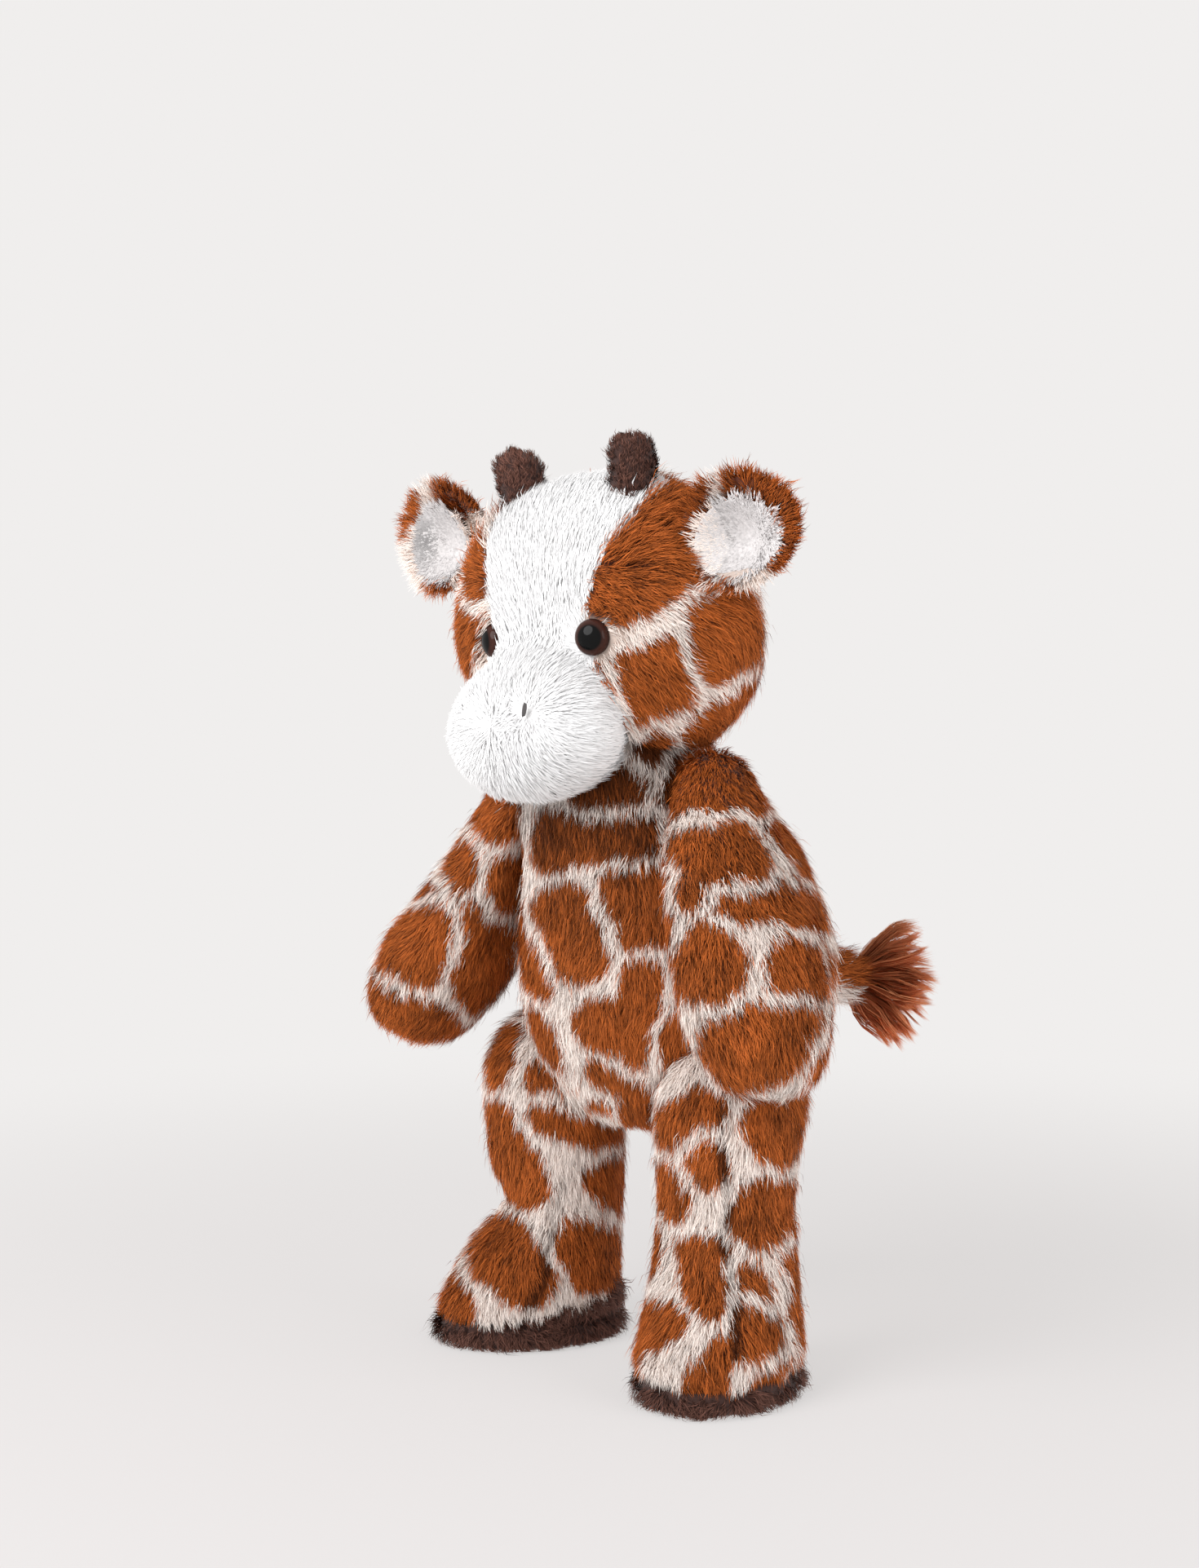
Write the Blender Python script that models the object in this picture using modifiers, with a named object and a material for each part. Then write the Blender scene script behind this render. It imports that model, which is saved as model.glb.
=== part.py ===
"""A plush giraffe that stands on its own feet, 35 cm tall, as the sewn and stuffed pieces it is made of.

Units are metres, +Z is up and the toy faces -Y. Its own left side is at +X.
Each skin is a plush shell with an opening, and each filling is the fibre that it holds.
"""
import math

import bmesh
import bpy
import numpy as np
from mathutils import Matrix, Vector

# Cloth and clearances
CLOTH = 0.003  # plush backing with its pile pressed down
GAP = 0.0003
FIBRE_GAP = 0.0006  # between a skin and its filling
OVERRUN = 0.03  # how far a cutter runs past what it cuts
WORLD_REACH = 0.3  # half-size of a cutting block

# Facets of the soft forms, outside and inside
SKIN_FACETS = (24, 14)
LIMB_FACETS = (18, 12)
INNER_FACETS = (14, 10)
BALL_FACETS = (20, 12)
SMALL_FACETS = 16

# Body
TORSO_BOTTOM = 0.088
TORSO_HALF_WIDTH = 0.061
TORSO_HALF_DEPTH = 0.056
TORSO_ROUND = 0.5
TORSO_SQUARE = 2.1
# height, half width, half depth and how far back the middle lies, as shares of the body's sizes
TORSO_SHARES = (
    (0.0, 0.92, 0.94, 0.38),
    (0.093, 1.00, 1.02, 0.42),
    (0.297, 1.04, 1.05, 0.47),
    (0.50, 0.945, 0.93, 0.40),
    (0.674, 0.795, 0.81, 0.20),
    (0.738, 0.725, 0.73, 0.06),
    (0.802, 0.565, 0.615, -0.107),
    (1.0, 0.565, 0.615, -0.107),
)

# Neck, the round upper end of the body that the head turns on
NECK_RADIUS = 0.034
NECK_Y = -0.006
NECK_Z = 0.226
NECK_SKIRT = 0.012  # height of the head's clearance round the shoulders
NECK_FLARE = 0.006  # how much wider than the neck that clearance is

# Head
HEAD_DROP = 0.0020  # how far its underside lies below the middle of the neck
HEAD_HEIGHT = 0.1080
HEAD_HALF_WIDTH = 0.068
HEAD_HALF_DEPTH = 0.036
HEAD_Y = -0.0135
HEAD_ROUND = 0.92
HEAD_SQUARE = 2.3
HEAD_SHARES = (
    (0.0, 0.96, 1.14, 0.20),
    (0.20, 0.99, 1.10, 0.14),
    (0.42, 1.03, 0.97, 0.03),
    (0.70, 0.97, 0.98, -0.02),
    (1.0, 0.93, 0.96, -0.02),
)

# Muzzle, the full lower end of the white face
MUZZLE_DROP = 0.0120  # how far its underside hangs below the head's
MUZZLE_HEIGHT = 0.056
MUZZLE_HALF_WIDTH = 0.036
MUZZLE_HALF_DEPTH = 0.023
MUZZLE_Y = -0.0480
MUZZLE_ROUND = 0.72
MUZZLE_SQUARE = 2.4
MUZZLE_SHARES = (
    (0.0, 0.96, 0.96, 0.06),
    (0.34, 1.03, 1.00, 0.00),
    (0.70, 0.94, 0.92, 0.08),
    (1.0, 0.78, 0.80, 0.35),
)

# Blaze, the white stripe from the muzzle to the crown: half width and height as shares of the head's
BLAZE_SHARES = (
    (0.30, -0.15),
    (0.38, 0.05),
    (0.44, 0.22),
    (0.40, 0.36),
    (0.36, 0.46),
    (0.37, 0.62),
    (0.52, 0.78),
    (0.54, 1.10),
)
BLAZE_BACK_SHARE = -0.05  # where the stripe ends behind the horns, as a share of the head's depth

# Eyes, turned plastic domes on a stem, locked by a washer inside the head
EYE_X_SHARE = 0.406  # of the head's half width
EYE_HEIGHT_SHARE = 0.4278  # of the head's height
EYE_RADIUS = 0.0066
EYE_HEIGHT = 0.0048
EYE_RIM = 0.0010
EYE_SINK = 0.0012
EYE_TURN = 9.0  # degrees that the eye looks further out than the cloth under it
STEM_RADIUS = 0.0022
STEM_LENGTH = 0.0095
WASHER_RADIUS = 0.0062
WASHER_THICKNESS = 0.0014

# Nostrils, each a short bar of stitches
NOSTRIL_X = 0.0175
NOSTRIL_HEIGHT_SHARE = 0.584  # of the muzzle's height
NOSTRIL_HALF_LENGTH = 0.0032
NOSTRIL_HALF_WIDTH = 0.0010
NOSTRIL_LEAN = 12.0

# Horns
HORN_X_SHARE = 0.4485  # of the head's half width
HORN_FORWARD_SHARE = 0.403  # of the head's half depth
HORN_RISE = 0.0110  # how far its top stands above the crown
HORN_LENGTH = 0.034
HORN_RADIUS = 0.0088
HORN_WAIST_SHARE = 0.90

# Ears, each a cupped plush back with a short-pile lining
EAR_REACH = 0.0105  # how far its middle lies outside the head's half width
EAR_Y = -0.0180
EAR_LEFT_SHARE = 0.764  # height of its middle as a share of the head's
EAR_RIGHT_SHARE = 0.824  # the right ear is sewn on a little higher than the left one
EAR_TURN = 13.0
EAR_TILT = 8.0
EAR_HALF_WIDTH = 0.029
EAR_HALF_HEIGHT = 0.0215
EAR_HALF_THICKNESS = 0.0042
EAR_CUP = 0.010
LINING_HALF_WIDTH = 0.0225
LINING_HALF_HEIGHT = 0.0175
LINING_HALF_THICKNESS = 0.0020
LINING_SHIFT = 0.0036  # how far the lining lies in front of the middle of the ear
EAR_ROOT_CUP_SHARE = 0.15  # how much of the cup the edge beside the head has
EAR_SWINGS = (-20.0, 20.0)

# Arms
ARM_LENGTH = 0.128
ARM_HALF_THICKNESS = 0.025
ARM_HALF_BREADTH = 0.0310
ARM_ROUND = 0.5
ARM_SQUARE = 2.0
ARM_HAND_X = 0.098
ARM_HAND_Y = -0.0290
ARM_HAND_DROP = 0.1085  # how far the end of the hand lies below the middle of the neck
ARM_LEAN_OUT = 26.5
ARM_LEAN_FORWARD = 15.0
ARM_SHARES = (
    (0.0, 0.95, 0.95, 0.0),
    (0.20, 0.98, 0.98, 0.0),
    (0.45, 0.92, 0.90, 0.0),
    (0.72, 0.82, 0.78, 0.0),
    (1.0, 0.74, 0.68, 0.0),
)
SHOULDER_DROP = 0.0170  # how far the shoulders lie below the middle of the neck
SHOULDER_LEAN_UP = 14.0  # slant of the seam between arm and body
SHOULDER_LEAN_FRONT = 15.0

# Legs and feet
HIP_X = 0.0472
HIP_Y = 0.006
HIP_Z = 0.101
HIP_RADIUS = 0.0275
LEG_BOTTOM = -0.006
LEG_HALF_WIDTH = 0.0263
LEG_HALF_DEPTH = 0.0263
LEG_ROUND = 0.4
LEG_SQUARE = 2.0
LEG_SPLAY = 20.0
LEG_SHARES = (
    (0.0, 1.20, 1.56, -0.40),
    (0.117, 1.27, 1.70, -0.40),
    (0.198, 1.14, 1.42, -0.345),
    (0.288, 1.05, 1.18, -0.20),
    (0.387, 0.995, 1.04, -0.075),
    (0.504, 0.98, 0.985, 0.0),
    (0.675, 1.005, 1.005, 0.0),
    (0.79, 1.046, 1.046, 0.0),
    (1.0, 1.046, 1.046, 0.0),
)
SOLE_THICKNESS = 0.009
SOLE_EDGE = 0.0032
HIP_SWINGS = (-25.0, -5.0, 15.0)  # degrees about +X, so the foot comes forward where they are negative
HIP_WAY_LENGTH = 0.05  # how far down the legs' way through the body reaches
BAG_HALF_WIDTH = 0.019
BAG_HALF_LENGTH = 0.024
BAG_HEIGHT = 0.018

# Tail and its tassel
TAIL_Z = 0.1395
TAIL_PROUD = 0.004
TAIL_BALL_RADIUS = 0.009
TAIL_RADIUS = 0.0075
TAIL_TIP_RADIUS = 0.0062
TAIL_LENGTH = 0.027
TAIL_SIDEWAYS = 30.0
TAIL_RISE = -6.0
TASSEL_LENGTH = 0.033
TASSEL_RADIUS = 0.0195
# distance along the tassel and radius, as shares of its length and of its largest radius
TASSEL_SHARES = (
    (1.00, 0.0),
    (0.98, 0.45),
    (0.90, 0.82),
    (0.76, 1.00),
    (0.55, 0.90),
    (0.32, 0.66),
    (0.12, 0.46),
    (0.0, 0.40),
    (0.0, 0.0),
)

# Colours (linear RGB) and roughness
RUST_PLUSH = (0.38, 0.12, 0.03, 0.9)
WHITE_PLUSH = (0.90, 0.90, 0.91, 0.9)
LINING_PLUSH = (0.86, 0.86, 0.88, 0.85)
BROWN_PLUSH = (0.06, 0.028, 0.02, 0.9)
TASSEL_YARN = (0.20, 0.07, 0.035, 0.85)
FIBRE = (0.80, 0.80, 0.78, 1.0)
EYE_PLASTIC = (0.012, 0.009, 0.008, 0.08)
WASHER_PLASTIC = (0.75, 0.74, 0.70, 0.5)
THREAD = (0.03, 0.025, 0.022, 0.8)
BAG_CLOTH = (0.55, 0.50, 0.42, 0.95)


# Scene and materials

def clear_scene():
    """Remove what a new file holds."""
    for item in list(bpy.data.objects):
        bpy.data.objects.remove(item, do_unlink=True)


def collection(name):
    """Add a collection to the scene."""
    group = bpy.data.collections.new(name)
    bpy.context.scene.collection.children.link(group)
    return group


def material(name, finish):
    """Make a plain material from a colour and a roughness."""
    made = bpy.data.materials.new(name)
    made.use_nodes = True
    shader = made.node_tree.nodes["Principled BSDF"]
    shader.inputs["Base Color"].default_value = (*finish[:3], 1.0)
    shader.inputs["Roughness"].default_value = finish[3]
    shader.inputs["Metallic"].default_value = 0.0
    made.diffuse_color = (*finish[:3], 1.0)
    return made


class Toy:
    """The collections, the joints' empties and the pieces as they are made."""

    def __init__(self):
        self.parts = collection("plush_giraffe")
        self.cutters = collection("cutters")
        self.origin = self.empty("toy_origin", Vector((0.0, 0.0, 0.0)), None)

    def empty(self, name, place, parent):
        """Put an empty on a joint's axis."""
        made = bpy.data.objects.new(name, None)
        made.empty_display_size = CLOTH
        self.parts.objects.link(made)
        made.location = place
        if parent:
            self.follow(made, parent)
        return made

    def follow(self, item, parent):
        """Parent an object to an empty without moving it."""
        item.parent = parent
        item.matrix_parent_inverse = world_of(parent).inverted()

    def piece(self, name, mesh, finish, parent, placement=None):
        """Add a visible piece."""
        made = bpy.data.objects.new(name, mesh)
        made.data.materials.append(material(name + "_finish", finish))
        self.parts.objects.link(made)
        made.matrix_world = placement or Matrix.Identity(4)
        self.follow(made, parent or self.origin)
        return made

    def cutter(self, name, mesh, placement=None):
        """Add a shape that only cuts or adds to others."""
        made = bpy.data.objects.new(name, mesh)
        self.cutters.objects.link(made)
        made.hide_render = True
        made.display_type = "WIRE"
        made.matrix_world = placement or Matrix.Identity(4)
        self.follow(made, self.origin)
        return made


def world_of(item):
    """An object's place in the world before Blender has updated it."""
    own = item.matrix_basis
    if item.parent:
        return world_of(item.parent) @ item.matrix_parent_inverse @ own
    return own


def boolean(item, other, operation):
    """Cut a piece with another shape, or join the shape to it."""
    step = item.modifiers.new(operation.lower() + "_" + other.name, "BOOLEAN")
    step.operation = operation
    step.solver = "EXACT"
    step.object = other


# Shapes

def mesh_from(bm, name):
    """Finish a bmesh as a smooth-shaded mesh whose faces point outwards."""
    bmesh.ops.recalc_face_normals(bm, faces=bm.faces)
    mesh = bpy.data.meshes.new(name)
    bm.to_mesh(mesh)
    bm.free()
    mesh.shade_smooth()
    return mesh


def share_at(shares, place):
    """Read a table of shares at a place along a form, on a smooth curve through its rows."""
    table = np.array(shares)
    places = table[:, 0]
    slopes = np.gradient(table[:, 1:], places, axis=0)
    index = int(np.clip(np.searchsorted(places, place) - 1, 0, len(places) - 2))
    span = places[index + 1] - places[index]
    step = (place - places[index]) / span
    start, end = table[index, 1:], table[index + 1, 1:]
    ease = step * step * (3.0 - 2.0 * step)
    leave = step * (1.0 - step) ** 2 * span * slopes[index]
    arrive = step * step * (step - 1.0) * span * slopes[index + 1]
    return start + (end - start) * ease + leave + arrive


def superellipse(cosine, sine, square):
    """A point on a unit circle, pushed towards a rounded square."""
    power = 2.0 / square
    across = math.copysign(abs(cosine) ** power, cosine)
    along = math.copysign(abs(sine) ** power, sine)
    return across, along


class Form:
    """A stuffed shape: rings that swell and taper along a spine, closed at both ends.

    With a crown, a radius and the middle of a ball, the upper end follows that ball.
    """

    def __init__(self, height, half_width, half_depth, shares, roundness, square, crown=None):
        self.height = height
        self.half_width = half_width
        self.half_depth = half_depth
        self.shares = shares
        self.roundness = roundness
        self.square = square
        self.crown = crown

    def ring(self, place, inset=0.0):
        """Half width, half depth and middle of the form at a share of its height."""
        width, depth, middle = share_at(self.shares, place)
        end = min(place, 0.5) if self.crown else place
        close = (2.0 * math.sqrt(max(end * (1.0 - end), 0.0))) ** self.roundness
        across = (self.half_width * width - inset) * close
        along = (self.half_depth * depth - inset) * close
        if self.crown:
            radius, centre = self.crown
            up = inset + place * (self.height - 2.0 * inset) - (self.height - radius)
            if up > 0.0:
                reach = math.sqrt(max((radius - inset) ** 2 - up * up, 0.0))
                return reach, reach, centre
        return across, along, self.half_depth * middle

    def mesh(self, name, facets, inset=0.0):
        """The form as a mesh, drawn in by the inset (or let out where it is negative)."""
        bm = bmesh.new()
        bmesh.ops.create_uvsphere(bm, u_segments=facets[0], v_segments=facets[1], radius=1.0)
        for vert in bm.verts:
            place = min(max((vert.co.z + 1.0) / 2.0, 0.0), 1.0)
            across, along, middle = self.ring(place, inset)
            flat = math.hypot(vert.co.x, vert.co.y)
            unit = (0.0, 0.0)
            if flat > GAP:
                unit = superellipse(vert.co.x / flat, vert.co.y / flat, self.square)
            vert.co.x = across * unit[0]
            vert.co.y = along * unit[1] + middle
            vert.co.z = inset + place * (self.height - 2.0 * inset)
        return mesh_from(bm, name)

    def front(self, across, place):
        """How far the form's front face reaches at a share of its height and a distance from its middle."""
        wide, deep, middle = self.ring(place)
        share = min(abs(across) / wide, 1.0)
        return middle - deep * (1.0 - share ** self.square) ** (1.0 / self.square)


def ball(name, radius, facets=BALL_FACETS):
    """A sphere."""
    bm = bmesh.new()
    bmesh.ops.create_uvsphere(bm, u_segments=facets[0], v_segments=facets[1], radius=radius)
    return mesh_from(bm, name)


def post(name, radius, length):
    """A round post that hangs down from its own origin."""
    bm = bmesh.new()
    bmesh.ops.create_cone(
        bm, cap_ends=True, segments=BALL_FACETS[0], radius1=radius, radius2=radius, depth=length
    )
    bmesh.ops.translate(bm, verts=bm.verts, vec=(0.0, 0.0, -length / 2.0))
    return mesh_from(bm, name)


def seat_radius(radius, facets=BALL_FACETS):
    """Radius of a faceted seat whose flats clear a faceted ball that turns in it."""
    return (radius + GAP) / math.cos(math.pi / facets[0]) ** 2


def block(name, low, high):
    """A box between two corners."""
    bm = bmesh.new()
    bmesh.ops.create_cube(bm, size=1.0)
    middle = (Vector(low) + Vector(high)) / 2.0
    size = Vector(high) - Vector(low)
    for vert in bm.verts:
        vert.co = Vector([vert.co[i] * size[i] + middle[i] for i in range(3)])
    return mesh_from(bm, name)


def turned(item, profile, segments=SMALL_FACETS):
    """Turn a profile about the object's own Z axis; it runs down the outer side from the top."""
    mesh = item.data
    points = [(radius, 0.0, height) for radius, height in profile]
    mesh.from_pydata(points, [(i, i + 1) for i in range(len(points) - 1)], [])
    screw = item.modifiers.new("turn", "SCREW")
    screw.axis = "Z"
    screw.steps = segments
    screw.render_steps = segments
    screw.use_merge_vertices = True
    screw.merge_threshold = 0.00001
    screw.use_smooth_shade = True
    return item


def arc(middle, radius, start, end, steps):
    """Points of a profile along an arc, from one angle in degrees to another."""
    points = []
    for i in range(steps + 1):
        angle = math.radians(start + (end - start) * i / steps)
        points.append((middle[0] + radius * math.cos(angle), middle[1] + radius * math.sin(angle)))
    return points


def aim(place, direction, spin=0.0):
    """A placement whose own +Z points along a direction."""
    turn = Vector(direction).to_track_quat("Z", "Y").to_matrix().to_4x4()
    return Matrix.Translation(place) @ turn @ Matrix.Rotation(spin, 4, "Z")


# The stuffed forms

HEAD_BOTTOM = NECK_Z - HEAD_DROP
MUZZLE_BOTTOM = HEAD_BOTTOM - MUZZLE_DROP
TORSO_HEIGHT = NECK_Z + NECK_RADIUS - TORSO_BOTTOM
LEG_HEIGHT = HIP_Z + HIP_RADIUS - LEG_BOTTOM
TORSO = Form(
    TORSO_HEIGHT, TORSO_HALF_WIDTH, TORSO_HALF_DEPTH, TORSO_SHARES, TORSO_ROUND, TORSO_SQUARE,
    (NECK_RADIUS, NECK_Y),
)
HEAD = Form(HEAD_HEIGHT, HEAD_HALF_WIDTH, HEAD_HALF_DEPTH, HEAD_SHARES, HEAD_ROUND, HEAD_SQUARE)
MUZZLE = Form(
    MUZZLE_HEIGHT, MUZZLE_HALF_WIDTH, MUZZLE_HALF_DEPTH, MUZZLE_SHARES, MUZZLE_ROUND, MUZZLE_SQUARE
)
ARM = Form(ARM_LENGTH, ARM_HALF_THICKNESS, ARM_HALF_BREADTH, ARM_SHARES, ARM_ROUND, ARM_SQUARE)
LEG = Form(
    LEG_HEIGHT, LEG_HALF_WIDTH, LEG_HALF_DEPTH, LEG_SHARES, LEG_ROUND, LEG_SQUARE, (HIP_RADIUS, 0.0)
)

TORSO_PLACE = Matrix.Translation((0.0, 0.0, TORSO_BOTTOM))
HEAD_PLACE = Matrix.Translation((0.0, HEAD_Y, HEAD_BOTTOM))
MUZZLE_PLACE = Matrix.Translation((0.0, MUZZLE_Y, MUZZLE_BOTTOM))
NECK = Vector((0.0, NECK_Y, NECK_Z))


def hip(side):
    """The middle of a hip's ball."""
    return Vector((side * HIP_X, HIP_Y, HIP_Z))


def tail_root():
    """The middle of the tail's ball, a little proud of the body's back."""
    place = (TAIL_Z - TORSO_BOTTOM) / TORSO_HEIGHT
    wide, deep, middle = TORSO.ring(place)
    return Vector((0.0, middle + deep + TAIL_PROUD, TAIL_Z))


def tail_direction():
    """The way the tail points from its root: back, to the toy's left and a little down."""
    side, rise = math.radians(TAIL_SIDEWAYS), math.radians(TAIL_RISE)
    return Vector((math.sin(side) * math.cos(rise), math.cos(side) * math.cos(rise), math.sin(rise)))


def shoulder_normal(side):
    """The outward normal of the flat seam between an arm and the body."""
    up, front = math.radians(SHOULDER_LEAN_UP), math.radians(SHOULDER_LEAN_FRONT)
    return Vector((side * math.cos(up) * math.cos(front), -math.cos(up) * math.sin(front), math.sin(up)))


def shoulder_place(side):
    """The middle of the shoulder seam: on the flat that just clears the body's flank."""
    normal = shoulder_normal(side)
    rim = []
    for vert in TORSO.mesh("flank_guide", SKIN_FACETS).vertices:
        rim.append(normal.dot(TORSO_PLACE @ vert.co))
    bpy.data.meshes.remove(bpy.data.meshes["flank_guide"])
    reach = max(rim) + GAP
    up = NECK_Z - SHOULDER_DROP
    across = (reach - normal.y * NECK_Y - normal.z * up) / normal.x
    return Vector((across, NECK_Y, up))


def leg_place(side):
    """The leg's own frame, turned so that its toes point outwards."""
    turn = Matrix.Rotation(math.radians(side * LEG_SPLAY), 4, "Z")
    return Matrix.Translation((side * HIP_X, HIP_Y, LEG_BOTTOM)) @ turn


def head_surface(across, height):
    """A point on the head's front and the outward normal there."""
    def reach(x, z):
        return HEAD_Y + HEAD.front(x, (z - HEAD_BOTTOM) / HEAD_HEIGHT)

    y = reach(across, height)
    slope_x = (reach(across + CLOTH, height) - reach(across - CLOTH, height)) / (CLOTH + CLOTH)
    slope_z = (reach(across, height + CLOTH) - reach(across, height - CLOTH)) / (CLOTH + CLOTH)
    return Vector((across, y, height)), Vector((slope_x, -1.0, slope_z)).normalized()


# The pieces, from the body outwards

def swung(place, pivot, degrees):
    """A placement turned about a hip's axis."""
    turn = Matrix.Rotation(math.radians(degrees), 4, "X")
    return Matrix.Translation(pivot) @ turn @ Matrix.Translation(-pivot) @ place


def body_seats(toy):
    """Cutters for the hips and the tail's root in the body."""
    seats = []
    for side, word in ((1, "left"), (-1, "right")):
        radius = seat_radius(HIP_RADIUS)
        at_hip = Matrix.Translation(hip(side))
        seats.append(toy.cutter("hip_seat_" + word, ball("hip_seat", radius), at_hip))
        for number, degrees in enumerate(HIP_SWINGS):
            name = "leg_way_" + word + "_" + str(number)
            mesh = post(name, radius, HIP_WAY_LENGTH)
            seats.append(toy.cutter(name, mesh, swung(at_hip, hip(side), degrees)))
    radius = seat_radius(TAIL_BALL_RADIUS)
    seats.append(toy.cutter("tail_seat", ball("tail_seat", radius), Matrix.Translation(tail_root())))
    return seats


def make_body(toy):
    """The body's skin, which ends in the round neck, and the fibre inside."""
    seats = body_seats(toy)
    skin = toy.piece("torso_skin", TORSO.mesh("torso_skin", SKIN_FACETS), RUST_PLUSH, None, TORSO_PLACE)
    fibre = TORSO.mesh("torso_filling", INNER_FACETS, CLOTH + FIBRE_GAP)
    filling = toy.piece("torso_filling", fibre, FIBRE, None, TORSO_PLACE)
    hollow = toy.cutter("torso_hollow", TORSO.mesh("torso_hollow", INNER_FACETS, CLOTH), TORSO_PLACE)
    boolean(skin, hollow, "DIFFERENCE")
    for seat in seats:
        boolean(skin, seat, "DIFFERENCE")
        boolean(filling, seat, "DIFFERENCE")


def neck_clearance(toy):
    """The room that the head leaves round the neck and the shoulders, turned about the neck's axis."""
    cutter = toy.cutter("neck_clearance", bpy.data.meshes.new("neck_clearance"), Matrix.Translation(NECK))
    radius = seat_radius(NECK_RADIUS)
    profile = [(0.0, radius)] + arc((0.0, 0.0), radius, 80.0, 10.0, 7)
    profile.append((radius + NECK_FLARE, -NECK_SKIRT / 2.0))
    profile.append((radius + NECK_FLARE + NECK_FLARE / 2.0, -NECK_SKIRT))
    profile.append((radius + NECK_FLARE + NECK_FLARE / 2.0, -OVERRUN))
    profile.append((0.0, -OVERRUN))
    return turned(cutter, profile, BALL_FACETS[0])


def blaze_prism(toy, name, spare):
    """The outline of the white stripe, drawn straight back through the front of the head."""
    right = [(share * HEAD_HALF_WIDTH + spare, HEAD_BOTTOM + up * HEAD_HEIGHT) for share, up in BLAZE_SHARES]
    left = [(-across, up) for across, up in reversed(right)]
    bm = bmesh.new()
    front = HEAD_Y - HEAD_HALF_DEPTH - OVERRUN
    back = HEAD_Y + HEAD_HALF_DEPTH * BLAZE_BACK_SHARE + spare
    verts = [bm.verts.new((across, front, up)) for across, up in right + left]
    face = bm.faces.new(verts)
    grown = bmesh.ops.extrude_face_region(bm, geom=[face])
    moved = [item for item in grown["geom"] if isinstance(item, bmesh.types.BMVert)]
    bmesh.ops.translate(bm, verts=moved, vec=(0.0, back - front, 0.0))
    return toy.cutter(name, mesh_from(bm, name))


def eye_place(side):
    """An eye's frame: its own +Z looks out of the head."""
    across = side * EYE_X_SHARE * HEAD_HALF_WIDTH
    up = HEAD_BOTTOM + HEAD_HEIGHT * EYE_HEIGHT_SHARE
    spot, normal = head_surface(across, up)
    outward = Matrix.Rotation(math.radians(side * EYE_TURN), 3, "Z") @ normal
    return aim(spot - normal * EYE_SINK, outward)


def eye_profile(spare=0.0):
    """Dome, rim and stem of an eye, from its top down; with room to spare, also round its washer."""
    radius, height, stem = EYE_RADIUS + spare, EYE_HEIGHT + spare, STEM_RADIUS + spare
    dome = []
    for angle in np.linspace(0.0, math.pi / 2.0, 6):
        dome.append((float(radius * math.sin(angle)), float(EYE_RIM + (height - EYE_RIM) * math.cos(angle))))
    points = dome + [(radius, -spare), (stem, -spare)]
    if spare:
        room, top = WASHER_RADIUS + spare, -CLOTH
        bottom = top - spare - WASHER_THICKNESS - spare
        points += [(stem, top), (room, top), (room, bottom), (stem, bottom)]
    return points + [(stem, -STEM_LENGTH - spare), (0.0, -STEM_LENGTH - spare)]


def washer_profile():
    """The washer's section, which closes on itself, from its inner top edge out and round."""
    top = -CLOTH - GAP
    bottom = top - WASHER_THICKNESS
    inner = STEM_RADIUS + GAP
    return [(inner, top), (WASHER_RADIUS, top), (WASHER_RADIUS, bottom), (inner, bottom), (inner, top)]


def make_eyes(toy, neck, soft):
    """Both eyes with their washers, and the holes for them in the soft pieces round them."""
    for side, word in ((1, "left"), (-1, "right")):
        place = eye_place(side)
        empty = bpy.data.meshes.new
        eye = toy.piece("eye_" + word, empty("eye_" + word), EYE_PLASTIC, neck, place)
        turned(eye, eye_profile())
        washer = toy.piece("eye_washer_" + word, empty("eye_washer_" + word), WASHER_PLASTIC, neck, place)
        turned(washer, washer_profile())
        hole = toy.cutter("eye_hole_" + word, empty("eye_hole_" + word), place)
        turned(hole, eye_profile(GAP))
        for item in soft:
            boolean(item, hole, "DIFFERENCE")


def make_nostrils(toy, neck, panel):
    """Two short bars of stitches on the front of the muzzle."""
    for side, word in ((1, "left"), (-1, "right")):
        front = MUZZLE_Y + MUZZLE.front(NOSTRIL_X, NOSTRIL_HEIGHT_SHARE)
        up = MUZZLE_BOTTOM + MUZZLE_HEIGHT * NOSTRIL_HEIGHT_SHARE
        place = Matrix.Translation((side * NOSTRIL_X, front, up))
        place = place @ Matrix.Rotation(math.radians(side * NOSTRIL_LEAN), 4, "Y")
        name = "nostril_" + word
        for spare in (0.0, GAP):
            wide, tall = NOSTRIL_HALF_WIDTH + spare, NOSTRIL_HALF_LENGTH + spare
            mesh = ball(name, 1.0, (8, 6))
            mesh.transform(Matrix.Diagonal((wide, wide, tall, 1.0)))
            if spare:
                boolean(panel, toy.cutter(name + "_bed", mesh, place), "DIFFERENCE")
            else:
                toy.piece(name, mesh, THREAD, neck, place)


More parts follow.
